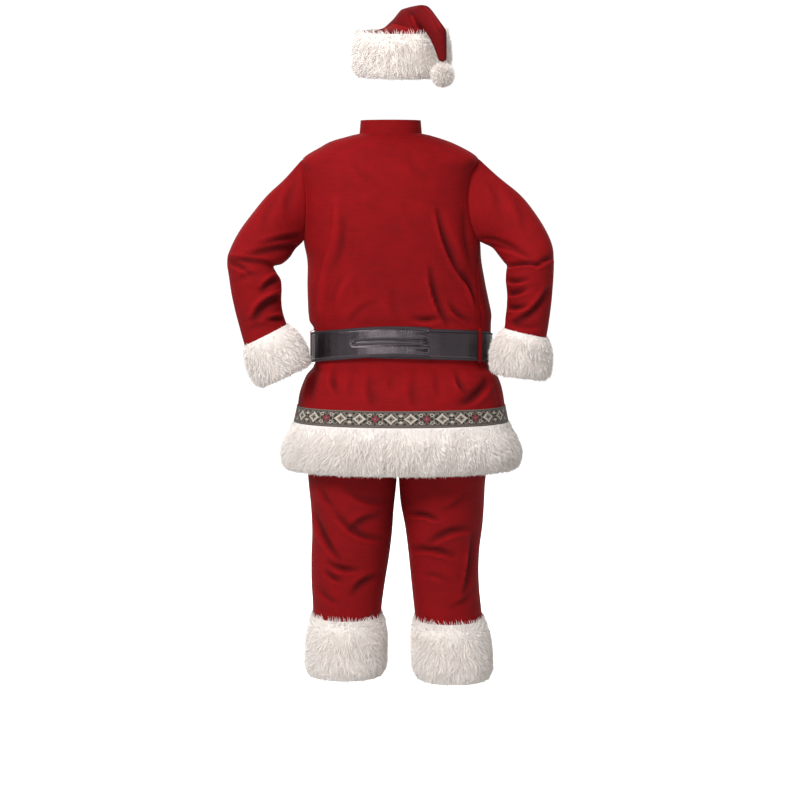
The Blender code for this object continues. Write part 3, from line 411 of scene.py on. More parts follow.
def velour():
    """Red of three tones mixed by broad noise and by slubs drawn out across the cloth.

    Creases are darker by painted shade and the ridges beside them lighter by painted highlight, both read
    from the crease attribute.
    """
    material, tree, shader = new_material("cut pile velour")
    place = add(tree, "UVMap", uv_map="cloth").outputs["UV"]
    crease = add(tree, "Attribute", attribute_name="crease").outputs["Fac"]
    broad = add(tree, "TexNoise", {"Vector": place, "Scale": 1 / VELOUR_PATCH, "Detail": 4.0,
                                   "Roughness": 0.6})
    drawn = add(tree, "Mapping", {"Vector": place, "Scale": (1 / VELOUR_SLUB[0], 1 / VELOUR_SLUB[1], 1.0)})
    slub = add(tree, "TexNoise", {"Vector": drawn.outputs[0], "Scale": 1.0, "Detail": 2.0,
                                  "Roughness": 0.6})
    pile = add(tree, "TexNoise", {"Vector": place, "Scale": 1 / VELOUR_PILE, "Detail": 2.0,
                                  "Roughness": 0.7})
    patches = add(tree, "MapRange", {0: broad.outputs[0], 1: 0.3, 2: 0.7, 3: 0.68, 4: 1.0})
    worn = add(tree, "Mix", {0: patches.outputs[0], 6: linear(VELOUR_DARK), 7: linear(VELOUR_MID)},
               data_type="RGBA")
    threads = add(tree, "MapRange", {0: slub.outputs[0], 1: 0.4, 2: 0.75, 3: 0.0, 4: 0.35})
    cloth = add(tree, "Mix", {0: threads.outputs[0], 6: worn.outputs[2], 7: linear(VELOUR_LIGHT)},
                data_type="RGBA")
    # Painted shade: the crease depth mixes the colour toward the near black red in folds, and painted
    # highlight mixes it toward the light red on the ridges.
    deep = add(tree, "MapRange", {0: crease, 1: 0.05, 2: 1.0, 3: 0.0, 4: CREASE_SHADE})
    hollow = add(tree, "Mix", {0: deep.outputs[0], 6: cloth.outputs[2], 7: linear(VELOUR_PAINTED_SHADE)},
                 data_type="RGBA")
    painted_ridge_light = add(tree, "MapRange", {0: crease, 1: -0.05, 2: -0.5, 3: 0.0, 4: RIDGE_LIGHT})
    colour = add(tree, "Mix", {0: painted_ridge_light.outputs[0], 6: hollow.outputs[2], 7: linear(VELOUR_LIGHT)},
                 data_type="RGBA")
    tree.links.new(colour.outputs[2], shader.inputs["Base Color"])
    height = add(tree, "Math", {0: slub.outputs[0], 1: 0.25, 2: pile.outputs[0]}, operation="MULTIPLY_ADD")
    bump = add(tree, "Bump", {"Height": height.outputs[0], "Strength": 0.3, "Distance": 0.0005})
    tree.links.new(bump.outputs[0], shader.inputs["Normal"])
    shader.inputs["Roughness"].default_value = 0.85
    shader.inputs["Specular IOR Level"].default_value = 0.1
    shader.inputs["Sheen Weight"].default_value = 0.04
    shader.inputs["Sheen Roughness"].default_value = 0.4
    shader.inputs["Sheen Tint"].default_value = linear(VELOUR_SHEEN)
    return material


VELOUR = velour()

z = body_levels(*BACK_ROWS)[None, :]
start, stop = panel_edge(z, -1, "back"), panel_edge(z, 1, "back")
angle = start + (stop - start) * shares(BACK_COUNT)[:, None]
normal = jacket_normal(z + 0 * angle, angle)
face = jacket_point(z + 0 * angle, angle)
face, crease = cloth_face(face, normal, (BACK_FOLDS,), (1,), calm=HEM_CALM)
face = trimmed(face, SEAM_GAP / 2)
jacket_back = shell("back_panel", face, normal, VELOUR, crease=crease)
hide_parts("jacket_back")


# Jacket fronts: two velour panels that button down the middle, the left one lapping over the
# right. Each is sewn to the back at the shoulder and side seams, and its lap edge is turned in.
FRONT_EDGE = 171
FRONT_COUNT = 48
FRONT_ROWS = (74, 34, 12)
LAP_FADE = 5
LAP_SHORT = 2
LAP_STEP = 2.5
LAP_COUNT = 9
FRONT_FOLDS = (
    (150, -190, 175, -330, 8, 15, 5, 0.5),
    (120, -180, 96, -250, 6, 14, 3, 0.5),
    (90, -330, 122, -446, 8, 13, 4, 0.5),
    (40, -300, 62, -440, -8, 13, 3, 0.5),
    (-110, -190, -150, -320, 8, 15, 5, 0.5),
    (-70, -200, -58, -280, 6, 14, 3, 0.5),
    (-80, -340, -118, -446, 8, 13, 4, 0.5),
    (-30, -320, -62, -444, -8, 12, 3, 0.5),
    (110, -566, 130, -650, 6, 13, 4, 0.5),
    (-100, -566, -125, -650, 6, 13, 4, 0.5),
    (-175, -566, -205, -630, 6, 12, 4, 0.5),
    (190, -566, 215, -640, 6, 12, 4, 0.5),
    (60, -566, 52, -620, 4, 11, 3, 0.5),
    (-44, -566, -40, -625, 4, 11, 3, 0.5),
)


def front_angles(seam, side):
    """Angles across a front: even to the lap, then close ones to its edge at 189 degrees."""
    lap = np.linspace(FRONT_EDGE + LAP_SHORT, 360 - FRONT_EDGE, LAP_COUNT)[:, None]
    if side < 0:
        lap = lap[::-1] - 360
    seam = np.atleast_1d(seam).reshape(1, -1)
    visible = seam + (side * (FRONT_EDGE - LAP_FADE) - seam) * shares(FRONT_COUNT)[:, None]
    return np.concatenate([visible, lap + 0 * seam], axis=0)


for side, name in ((1, "left"), (-1, "right")):
    z = body_levels(*FRONT_ROWS)[None, :]
    angle = front_angles(panel_edge(z, side, "front"), side)
    face = jacket_point(z + 0 * angle, angle)
    normal = jacket_normal(z + 0 * angle, angle)
    face, crease = cloth_face(face, normal, (FRONT_FOLDS,), (-1,), calm=HEM_CALM)
    if side < 0:
        hidden = np.clip((np.abs(angle) - (FRONT_EDGE - LAP_FADE)) / LAP_FADE, 0, 1)
        face = face - normal * (hidden * hidden * (3 - 2 * hidden) * LAP_STEP)[..., None]
    face = trimmed(face, SEAM_GAP / 2)
    front = shell(f"front_panel_{name}", face, normal, VELOUR, crease=crease)
    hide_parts(f"jacket_front_{name}")


# Sleeves: one tube of velour each, seamed underneath and set into the armhole. The bent elbows
# crowd the cloth into creases across the inside of the bend and down the forearm.
SLEEVE_COLUMNS = ("over_x", "over_z", "under_x", "under_z", "mid_y", "deep")
LEFT_SLEEVE = (
    (230, -59, 229, -255, -6, 60),
    (274, -109, 239, -264, 4, 64),
    (315, -148, 250, -275, 20, 66),
    (349, -189, 262, -294, 38, 66),
    (377, -229, 279, -308, 56, 64),
    (396, -268, 297, -313, 72, 62),
    (405, -299, 292, -326, 80, 60),
    (401, -340, 280, -344, 84, 59),
    (396, -378, 278, -368, 85, 57),
    (388, -415, 279, -394, 84, 55),
    (378, -454, 276, -420, 82, 53),
    (366, -499, 266, -449, 80, 52),
    (351, -536, 245, -488, 78, 53),
    (336, -568, 232, -522, 77, 53),
    (321, -596, 222, -550, 76, 52),
)
RIGHT_SLEEVE = (
    (-185, -59, -186, -255, -6, 60),
    (-235, -104, -200, -262, 4, 64),
    (-284, -146, -220, -272, 20, 66),
    (-318, -188, -235, -290, 38, 66),
    (-343, -228, -245, -303, 56, 64),
    (-358, -266, -252, -312, 72, 62),
    (-361, -305, -250, -326, 82, 60),
    (-360, -345, -249, -346, 87, 58),
    (-357, -385, -252, -376, 88, 56),
    (-353, -420, -252, -404, 87, 55),
    (-349, -452, -249, -432, 85, 54),
    (-345, -480, -246, -458, 84, 53),
    (-342, -515, -231, -500, 83, 54),
    (-340, -548, -229, -535, 82, 54),
    (-338, -580, -230, -566, 81, 53),
)
SLEEVE_ROUND = 80
SLEEVE_ROWS = 100
SLEEVE_CLOSE = (0, 0.03, 0.06, 0.1)
SLEEVE_EVEN_FROM = 0.16
ARMHOLE_ROWS = 2.0
ARMHOLE_EASE = 1.5
CUFF_START = 11.0
CUFF_END = 14.0
CUFF_TUCK = 0.36
SEAM_TUCK = 5.0
SEAM_SPREAD = 2.5
SLEEVE_FOLDS = (
    (226, -240, 326, -262, 3, 10, 5.5, 0.4),
    (232, -266, 352, -284, 4, 11, 6, 0.4),
    (304, -306, 404, -296, 5, 8, 5, 0.5),
    (402, -304, 350, -326, -3, 8, 4.5, 0.5),
    (272, -338, 318, -364, 6, 10, 8, 0.5),
    (330, -330, 378, -344, 6, 9, 3, 0.5),
    (270, -380, 340, -434, 12, 12, 10, 0.6),
    (264, -434, 306, -437, 3, 8, 6.5, 0.5),
    (300, -452, 352, -458, 6, 10, 2.5, 0.5),
    (250, -120, 262, -190, 8, 13, 2.5, 0.4),
    (296, -160, 318, -222, 8, 14, 2.5, 0.4),
    (-192, -250, -268, -268, -4, 7, 3.5, 0.5),
    (-214, -264, -300, -290, -5, 9, 4, 0.5),
    (-250, -314, -322, -308, -6, 7, 7, 0.6),
    (-318, -310, -366, -292, -4, 8, 5, 0.5),
    (-240, -344, -292, -342, 4, 8, 6, 0.6),
    (-240, -376, -290, -366, 4, 8, 7, 0.6),
    (-344, -366, -268, -440, -9, 10, 9, 0.5),
    (-240, -408, -292, -404, 3, 8, 6.5, 0.6),
    (-262, -444, -320, -452, 5, 9, 3, 0.5),
    (-210, -120, -224, -196, -8, 13, 2.5, 0.4),
    (-262, -150, -286, -220, -8, 14, 2.5, 0.4),
)
SLEEVE_FRONT_FOLDS = (
    (300, -300, 396, -292, 6, 10, 5, 0.5),
    (286, -338, 348, -352, 6, 10, 5, 0.5),
    (284, -380, 350, -420, 8, 11, 5, 0.5),
    (236, -244, 330, -262, 6, 9, 4, 0.5),
    (-255, -300, -352, -292, -6, 10, 5, 0.5),
    (-250, -338, -306, -352, -6, 10, 5, 0.5),
    (-252, -384, -318, -424, -8, 11, 5, 0.5),
    (-196, -244, -290, -262, -6, 9, 4, 0.5),
)


def sleeve_surface(table, side, along, turns):
    """Ellipses between the table's two edges, easing out of the armhole over two rows.

    A turn of 0 is the upper edge, a quarter is the back and a half is the underside.
    """
    keys = np.arange(len(table))
    along = np.asarray(along, float)[None, :]
    angle = np.asarray(turns, float)[:, None] * 2 * math.pi
    read = {name: column(table, SLEEVE_COLUMNS, name, keys, along) for name in SLEEVE_COLUMNS}
    mid_x = (read["over_x"] + read["under_x"]) / 2
    mid_z = (read["over_z"] + read["under_z"]) / 2
    x = mid_x + (read["over_x"] - mid_x) * np.cos(angle)
    z = mid_z + (read["over_z"] - mid_z) * np.cos(angle)
    y = read["mid_y"] + read["deep"] * np.sin(angle)
    grid = np.stack([x, y + 0 * x, z], axis=-1)
    level = (SHOULDER_TIP + ARMPIT) / 2 + (SHOULDER_TIP - ARMPIT) / 2 * np.cos(angle[:, 0])
    edge = np.where(np.sin(angle[:, 0]) >= 0, panel_edge(level, side, "back"),
                    panel_edge(level, side, "front"))
    fade = np.clip(1 - along / ARMHOLE_ROWS, 0, 1) ** ARMHOLE_EASE
    return grid + (jacket_point(level, edge)[:, None] - grid[:, :1]) * fade[..., None]


def tube_normals(grid):
    """Unit normals of a tube: cross product of steps round and along, away from the middle."""
    around = np.roll(grid, -1, axis=0) - np.roll(grid, 1, axis=0)
    normal = np.cross(around, np.gradient(grid, axis=1))
    normal /= np.maximum(np.linalg.norm(normal, axis=-1, keepdims=True), 1e-9)
    return normal * np.sign(np.mean(np.sum(normal * (grid - grid.mean(axis=0)), axis=-1)))


for side, name, table in ((1, "left", LEFT_SLEEVE), (-1, "right", RIGHT_SLEEVE)):
    even = np.linspace(SLEEVE_EVEN_FROM, CUFF_START + CUFF_TUCK, SLEEVE_ROWS)
    along = np.concatenate([SLEEVE_CLOSE, even])
    face = sleeve_surface(table, side, along, np.arange(SLEEVE_ROUND) / SLEEVE_ROUND)
    normal = tube_normals(face)
    face, crease = cloth_face(face, normal, (SLEEVE_FOLDS, SLEEVE_FRONT_FOLDS), (1, -1), ring=True)
    spread = face[:, 0] - face[:, 0].mean(axis=0)
    spread /= np.linalg.norm(spread, axis=-1, keepdims=True)
    face[:, 0] += spread * SEAM_SPREAD - np.array([side * SEAM_TUCK, 0.0, 0.0])
    sleeve = shell(f"sleeve_tube_{name}", face, normal, VELOUR, ring=True, crease=crease)
    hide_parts(f"sleeve_{name}")


# Collar: a low stand of velour sewn round the neckline, its two ends meeting at the front lap.
COLLAR_HEIGHT = 30
COLLAR_TUCK = 3
COLLAR_LEAN = -0.0012
COLLAR_COUNT = 78
COLLAR_ROWS = 14
degrees = np.linspace(-FRONT_EDGE, 360 - FRONT_EDGE, COLLAR_COUNT)[:, None]
foot = jacket_point(0.0, degrees)
rise = np.linspace(-COLLAR_TUCK, COLLAR_HEIGHT, COLLAR_ROWS)[None, :, None]
lean = (foot - foot.mean(axis=(0, 1))) * COLLAR_LEAN
face = foot + (np.array([0.0, 0.0, 1.0]) + lean) * rise
normal = np.cross(np.gradient(face, axis=1), np.gradient(face, axis=0))
normal /= np.linalg.norm(normal, axis=-1, keepdims=True)
normal[0] = normal[-1] = (normal[0] + normal[-1]) / 2
face = trimmed(face, SEAM_GAP / 2)
collar = shell("collar_stand", face, normal, VELOUR)
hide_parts("collar_band")


# Hem braid: a jacquard ribbon 38 mm wide, sewn flat round the hem above the plush. Pairs of
# stepped diamonds in off-white alternate with small red four-lobed flowers in grey scrolls.
BRAID_TOP = -647
BRAID_BOTTOM = -685
BRAID_WALL = 1.5
LAY_GAP = 0.3
BRAID_REPEAT = 120.0
BRAID_THREAD = (1.5, 1.15)
BRAID_FIBRE = 1 / 900
BRAID_COUNT = 190
BRAID_ROWS = 6
BRAID_END = 0.05
BRAID_COLOURS = {"ground": "4A4440", "dark": "1F201D", "green": "263029", "light": "B7AC9E",
                 "scroll": "776C63", "red": "7E2A34", "edge": "6D625A"}

# The chart, in millimetres off the ribbon's middle line and along its repeat.
FIELD_HALF = 13.6
VINE_TURN = 0.36
VINE_SWING = 4.2
VINE_HALF = 1.15
# Vines, curls, petals and edge lines are at their heights, and diamonds are steps of one size.
VINES = ((8.2, "scroll"), (4.6, "green"), (11.6, "scroll"))
DIAMOND_PLACE = 23.0
DIAMOND_HALF = 17.5
DIAMOND_HOLLOW = 0.86
DIAMOND_STEPS = ((1.15, "dark"), (1.0, "light"), (0.60, "ground"), (0.46, "scroll"), (0.26, "dark"))
CURL_SIZE = (5.4, 3.4)
CURLS = ((13.0, 8.8, "light"), (13.0, 1.8, "scroll"))
CURL_HEART = 0.36
FLOWER_SIZE = (9.4, 9.0)
PETAL_SIZE = (3.9, 3.5)
PETALS = ((5.0, 0.0), (0.0, 5.0))
HEART_SIZE = (1.9, 1.7)
BUD_HEIGHT = 7.4
BUD_SIZE = (4.6, 2.8)
LINK_SIZE = (3.8, 1.5)
DASH = (4.5, 3.0)
EDGE_LINE_HALF = 0.62
EDGE_LINES = ((14.4, "edge", True), (15.6, "dark", False), (16.8, "edge", False), (17.9, "edge", True))


def round_hem(levels, count):
    """Jacket points and normals round the hem, from front edge to front edge."""
    degrees = np.linspace(-FRONT_EDGE, 360 - FRONT_EDGE, count)[:, None]
    levels = np.asarray(levels, float)[None, :]
    face = jacket_point(levels + 0 * degrees, degrees)
    normal = jacket_normal(levels + 0 * degrees, degrees)
    return face - normal * waved(face)[..., None], normal, degrees[:, 0]


def braid():
    """The repeat charted in millimetres, on places rounded to the threads of the weave.

    p is the place in the repeat, 0 between two diamonds, and h the height off the middle.
    Each motif is a mask from distances, and later motifs lie over earlier ones.
    """
    material, tree, shader = new_material("jacquard braid")
    place = add(tree, "UVMap", uv_map="cloth").outputs["UV"]
    tones = {name: linear(code) for name, code in BRAID_COLOURS.items()}

    def spot(across, across_at, up, up_at, size):
        """Squared distance from a spot of the repeat, in shares of its size across and up."""
        parts = []
        for value, at, half in ((across, across_at, size[0]), (up, up_at, size[1])):
            off = add(tree, "Math", {0: value, 1: at}, operation="SUBTRACT")
            share = add(tree, "Math", {0: off.outputs[0], 1: half}, operation="DIVIDE")
            share = add(tree, "Math", {0: share.outputs[0]}, operation="ABSOLUTE")
            parts.append(add(tree, "Math", {0: share.outputs[0], 1: 2.0}, operation="POWER").outputs[0])
        return add(tree, "Math", {0: parts[0], 1: parts[1]}, operation="ADD").outputs[0]

    def motif(distance, radius, tone, under, keep=1.0):
        """One tone over the colours under it where the distance is less than the radius."""
        near = add(tree, "Math", {0: distance, 1: radius}, operation="LESS_THAN")
        mask = add(tree, "Math", {0: near.outputs[0], 1: keep}, operation="MULTIPLY")
        return add(tree, "Mix", {0: mask.outputs[0], 6: under, 7: tones[tone]},
                   data_type="RGBA").outputs[2]

    def off_line(value, at):
        """Distance of a value from the place of a line."""
        off = add(tree, "Math", {0: value, 1: at}, operation="SUBTRACT")
        return add(tree, "Math", {0: off.outputs[0]}, operation="ABSOLUTE").outputs[0]

    scaled = add(tree, "VectorMath", {0: place, "Scale": 1 / MM}, operation="SCALE")
    threads = add(tree, "VectorMath", {0: scaled.outputs[0], 1: (*BRAID_THREAD, 1.0)}, operation="SNAP")
    u, v, _ = add(tree, "SeparateXYZ", {0: threads.outputs[0]}).outputs
    shifted = add(tree, "Math", {0: u, 1: BRAID_REPEAT / 2}, operation="ADD")
    repeat = add(tree, "Math", {0: shifted.outputs[0], 1: BRAID_REPEAT}, operation="FLOORED_MODULO")
    p = off_line(repeat.outputs[0], BRAID_REPEAT / 2)
    h = off_line(v, (BRAID_TOP - BRAID_BOTTOM) / 2)
    q = off_line(p, DIAMOND_PLACE)
    r = add(tree, "Math", {0: BRAID_REPEAT / 2, 1: p}, operation="SUBTRACT").outputs[0]

    colour = motif(h, FIELD_HALF, "dark", tones["ground"])
    field = add(tree, "Math", {0: h, 1: FIELD_HALF}, operation="LESS_THAN").outputs[0]
    vine = add(tree, "Math", {0: p, 1: VINE_TURN}, operation="MULTIPLY")
    vine = add(tree, "Math", {0: vine.outputs[0]}, operation="COSINE")
    vine = add(tree, "Math", {0: vine.outputs[0], 1: VINE_SWING}, operation="MULTIPLY")
    for shift, tone in VINES:
        height = add(tree, "Math", {0: h, 1: shift}, operation="SUBTRACT")
        colour = motif(off_line(height.outputs[0], vine.outputs[0]), VINE_HALF, tone, colour, field)
    hollow = []
    for value, half in ((q, DIAMOND_HALF), (h, FIELD_HALF)):
        share = add(tree, "Math", {0: value, 1: half}, operation="DIVIDE")
        hollow.append(add(tree, "Math", {0: share.outputs[0], 1: DIAMOND_HOLLOW}, operation="POWER"))
    diamond = add(tree, "Math", {0: hollow[0].outputs[0], 1: hollow[1].outputs[0]}, operation="ADD")
    for size, tone in DIAMOND_STEPS:
        colour = motif(diamond.outputs[0], size, tone, colour)
    for across, up, tone in CURLS:
        curl = spot(r, across, h, up, CURL_SIZE)
        colour = motif(curl, 1.0, tone, colour)
        colour = motif(curl, CURL_HEART, "dark", colour)
    colour = motif(spot(r, 0.0, h, 0.0, FLOWER_SIZE), 1.0, "dark", colour)
    for across, up in PETALS:
        colour = motif(spot(r, across, h, up, PETAL_SIZE), 1.0, "red", colour)
    colour = motif(spot(r, 0.0, h, 0.0, HEART_SIZE), 1.0, "scroll", colour)
    colour = motif(spot(p, 0.0, h, BUD_HEIGHT, BUD_SIZE), 1.0, "light", colour)
    colour = motif(spot(p, 0.0, h, 0.0, LINK_SIZE), 1.0, "scroll", colour)
    step = add(tree, "Math", {0: u, 1: DASH[0]}, operation="FLOORED_MODULO")
    dash = add(tree, "Math", {0: step.outputs[0], 1: DASH[1]}, operation="LESS_THAN").outputs[0]
    for height, tone, dashed in EDGE_LINES:
        colour = motif(off_line(h, height), EDGE_LINE_HALF, tone, colour, dash if dashed else 1.0)
    thread = add(tree, "TexNoise", {"Vector": place, "Scale": 1 / BRAID_FIBRE, "Detail": 1.0})
    fade = add(tree, "MapRange", {0: thread.outputs[0], 1: 0.3, 2: 0.7, 3: 0.72, 4: 1.15})
    colour = add(tree, "Mix", {0: 1.0, 6: colour, 7: fade.outputs[0]}, data_type="RGBA",
                 blend_type="MULTIPLY")
    tree.links.new(colour.outputs[2], shader.inputs["Base Color"])
    waves = []
    for value, spacing in zip(add(tree, "SeparateXYZ", {0: scaled.outputs[0]}).outputs, BRAID_THREAD):
        turn = add(tree, "Math", {0: value, 1: 2 * math.pi / spacing}, operation="MULTIPLY")
        waves.append(add(tree, "Math", {0: turn.outputs[0]}, operation="SINE").outputs[0])
    weave = add(tree, "Math", {0: waves[1], 1: waves[0]}, operation="ADD")
    bump = add(tree, "Bump", {"Height": weave.outputs[0], "Strength": 0.4, "Distance": 0.0003})
    tree.links.new(bump.outputs[0], shader.inputs["Normal"])
    shader.inputs["Roughness"].default_value = 0.75
    shader.inputs["Specular IOR Level"].default_value = 0.3
    return material


levels = np.linspace(BRAID_BOTTOM, BRAID_TOP, BRAID_ROWS)
face, normal, degrees = round_hem(levels, BRAID_COUNT)
face = face + normal * (LAY_GAP + BRAID_WALL)
face[[0, -1]] += (face[[1, -2]] - face[[0, -1]]) * BRAID_END
middle = lengths(face)[0]
middle = middle - np.interp(0.0, degrees, middle)
ribbon = shell("braid_ribbon", face, normal, braid(), wall=BRAID_WALL,
               run=(middle, (levels - BRAID_BOTTOM) * MM))
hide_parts("hem_braid")


# Hem plush: a band of long-pile fabric 112 mm deep, sewn on below the braid. The pile lies
# down from the seam, stands thickest two thirds of the way down and breaks into small locks.
HEM_FUR_TOP = -686
HEM_FUR_BOTTOM = -798
# A band's pile has pairs of a share of the way down and the pile's reach there. Its lean has the
# shares first and then how far the tips lie down the band.
HEM_PILE = ((0.0, 3), (0.15, 6), (0.32, 14), (0.48, 20), (0.66, 23.5), (0.83, 19), (0.94, 12), (1.0, 4))
PLUSH_SHADE = "DFD7D1"
PLUSH_MID = "F1E9E3"
PLUSH_LIGHT = "F7F1EC"
PLUSH_TUFT = 1 / 260
PLUSH_GLOW = 0.35
PLUSH_GLOW_DEPTH = 0.008
PLUSH_GLOW_COLOUR = (1.0, 0.9, 0.8)
LOCK_SIZE = 8.0
LOCK_PULL = 0.22
LOCK_GRID = 64
BACKING_SHARE = 0.5
ROOT_SINK = 1.2
TIP_REACH = 2.0
STRAND_WIDTH = 1.4
STRAND_LOOSE = 1.3
HEM_LEAN = ((0, 0.12, 0.8, 1), (5, 12, 13, 5))
HEM_STRANDS = (14400, 14400)


def plush(name, bumpy):
    """Warm white mixed by the strands' tone, random by lock and darker toward the roots as painted shade, or
    by noise where there are no strands.
    """
    material, tree, shader = new_material(name)
    if bumpy:
        place = add(tree, "TexCoord").outputs["Object"]
        tuft = add(tree, "TexNoise", {"Vector": place, "Scale": 1 / PLUSH_TUFT, "Detail": 4.0,
                                      "Roughness": 0.7})
        share = add(tree, "MapRange", {0: tuft.outputs[0], 1: 0.3, 2: 0.7, 3: 0.2, 4: 0.7}).outputs[0]
        bump = add(tree, "Bump", {"Height": tuft.outputs[0], "Strength": 0.8, "Distance": 0.004})
        tree.links.new(bump.outputs[0], shader.inputs["Normal"])
    else:
        share = add(tree, "Attribute", attribute_name="tone").outputs["Fac"]
    low = add(tree, "MapRange", {0: share, 1: 0.0, 2: 0.5})
    high = add(tree, "MapRange", {0: share, 1: 0.5, 2: 1.0})
    shaded = add(tree, "Mix", {0: low.outputs[0], 6: linear(PLUSH_SHADE), 7: linear(PLUSH_MID)},
                 data_type="RGBA")
    colour = add(tree, "Mix", {0: high.outputs[0], 6: shaded.outputs[2], 7: linear(PLUSH_LIGHT)},
                 data_type="RGBA")
    tree.links.new(colour.outputs[2], shader.inputs["Base Color"])
    shader.inputs["Roughness"].default_value = 0.9
    shader.inputs["Specular IOR Level"].default_value = 0.15
    shader.inputs["Sheen Weight"].default_value = 0.25
    shader.inputs["Sheen Roughness"].default_value = 0.5
    shader.inputs["Subsurface Weight"].default_value = PLUSH_GLOW
    shader.inputs["Subsurface Scale"].default_value = PLUSH_GLOW_DEPTH
    shader.inputs["Subsurface Radius"].default_value = PLUSH_GLOW_COLOUR
    return material


PLUSH_PILE = plush("long pile", False)
PLUSH_BACKING = plush("pile backing", True)


def cell_point(grid, k, beyond, r, s, t):
    """Bilinear point of each grid cell at the shares s across it and t up it."""
    low = grid[k, r] * (1 - s) + grid[beyond, r] * s
    high = grid[k, r + 1] * (1 - s) + grid[beyond, r + 1] * s
    return low * (1 - t) + high * t


def pile(name, roots, normal, height, lean, count, seed, ring=False, width=STRAND_WIDTH, swirl=0.35):
    """Strands as thin three-sided cones in two spans, rooted evenly over a grid.

    Each tip stands out by the height there and leans along the rows by lean, both read by
    row, and is drawn towards the nearest lock's middle. Locks are jittered square cells.
    """
    random = np.random.default_rng(seed)
    closed = np.concatenate([roots, roots[:1]]) if ring else roots
    across = closed[1:, :-1] - closed[:-1, :-1]
    down = closed[:-1, 1:] - closed[:-1, :-1]
    area = np.linalg.norm(np.cross(across, down), axis=-1).ravel()
    cell = random.choice(area.size, count, p=area / area.sum())
    k, r = np.divmod(cell, roots.shape[1] - 1)
    beyond = (k + 1) % roots.shape[0]
    s, t = random.random((2, count, 1))
    root = cell_point(roots, k, beyond, r, s, t)
    out = cell_point(normal, k, beyond, r, s, t)
    out /= np.linalg.norm(out, axis=-1, keepdims=True)
    run_u, run_v = lengths(roots, ring)
    a = (run_u[k] + (run_u[k + 1] - run_u[k]) * s[:, 0]) / MM
    b = (run_v[r] + (run_v[r + 1] - run_v[r]) * t[:, 0]) / MM
    round_it = across[k, r] / np.linalg.norm(across[k, r], axis=-1, keepdims=True)
    along = down[k, r] / np.linalg.norm(down[k, r], axis=-1, keepdims=True)

    jitter = random.random((LOCK_GRID, LOCK_GRID, 3))
    cell_a, cell_b = np.floor(a / LOCK_SIZE).astype(int), np.floor(b / LOCK_SIZE).astype(int)
    best = np.full(count, 1e9)
    pull, lock_tone = np.zeros((count, 2)), np.zeros(count)
    for step_a in (-1, 0, 1):
        for step_b in (-1, 0, 1):
            own = jitter[(cell_a + step_a) % LOCK_GRID, (cell_b + step_b) % LOCK_GRID]
            to_a = (cell_a + step_a + own[:, 0]) * LOCK_SIZE - a
            to_b = (cell_b + step_b + own[:, 1]) * LOCK_SIZE - b
            far = to_a ** 2 + to_b ** 2
            nearer = far < best
            best = np.where(nearer, far, best)
            pull = np.where(nearer[:, None], np.stack([to_a, to_b], axis=-1), pull)
            lock_tone = np.where(nearer, own[:, 2], lock_tone)

    rows = np.arange(roots.shape[1])
    at_row = r + t[:, 0]
    stand = np.interp(at_row, rows, height) * random.uniform(0.8, 1.1, count) * (0.92 + 0.14 * lock_tone)
    flow = np.interp(at_row, rows, lean) * random.uniform(0.7, 1.15, count)
    turn = swirl * (np.sin(a * 0.031 + seed) + np.sin(a * 0.083 - b * 0.05 + 2.0 * seed)
                    + 1.2 * (lock_tone - 0.5)) * np.abs(flow)
    loose = random.normal(0, STRAND_LOOSE, (count, 3))
    tip = (root + out * stand[:, None] + along * (flow + pull[:, 1] * LOCK_PULL)[:, None]
           + round_it * (turn + pull[:, 0] * LOCK_PULL)[:, None] + loose)
    middle = root + (tip - root) * 0.5 + out * stand[:, None] * 0.16

    heading = tip - root
    heading /= np.linalg.norm(heading, axis=-1, keepdims=True)
    first = np.cross(heading, along + 0.3 * out)
    first /= np.linalg.norm(first, axis=-1, keepdims=True)
    second = np.cross(heading, first)
    wide = width * random.uniform(0.7, 1.3, count) / 2
    spin = random.uniform(0, 2 * math.pi, count)
    points = np.empty((count, 7, 3))
    for corner in range(3):
        angle = spin + corner * 2 * math.pi / 3
        away = first * np.cos(angle)[:, None] + second * np.sin(angle)[:, None]
        points[:, corner] = root + away * wide[:, None]
        points[:, 3 + corner] = middle + away * wide[:, None] * 0.8
    points[:, 6] = tip
    pattern = [(2, 1, 0)]
    for corner in range(3):
        after = (corner + 1) % 3
        pattern += [(corner, after, 3 + after), (corner, 3 + after, 3 + corner), (3 + corner, 3 + after, 6)]
    faces = (np.arange(count)[:, None, None] * 7 + np.array(pattern)[None]).reshape(-1, 3)
    item = piece(name, points.reshape(-1, 3), faces, PLUSH_PILE)
    patch = 0.5 + 0.25 * np.sin(a * 0.022 + seed) + 0.25 * np.sin(b * 0.06 + a * 0.041)
    tip_tone = np.clip(0.45 + 0.35 * lock_tone + 0.2 * patch + random.uniform(-0.1, 0.1, count), 0, 1)
    # Painted shade: the tone falls to six tenths at each root and nine tenths at the middle, darker deep in
    # the pile; the tip's tone differs at random.
    tone = np.stack([tip_tone * 0.6] * 3 + [tip_tone * 0.9] * 3 + [tip_tone], axis=-1)
    shade = item.data.attributes.new("tone", "FLOAT", "POINT")
    shade.data.foreach_set("value", tone.astype(np.float32).ravel())
    return item


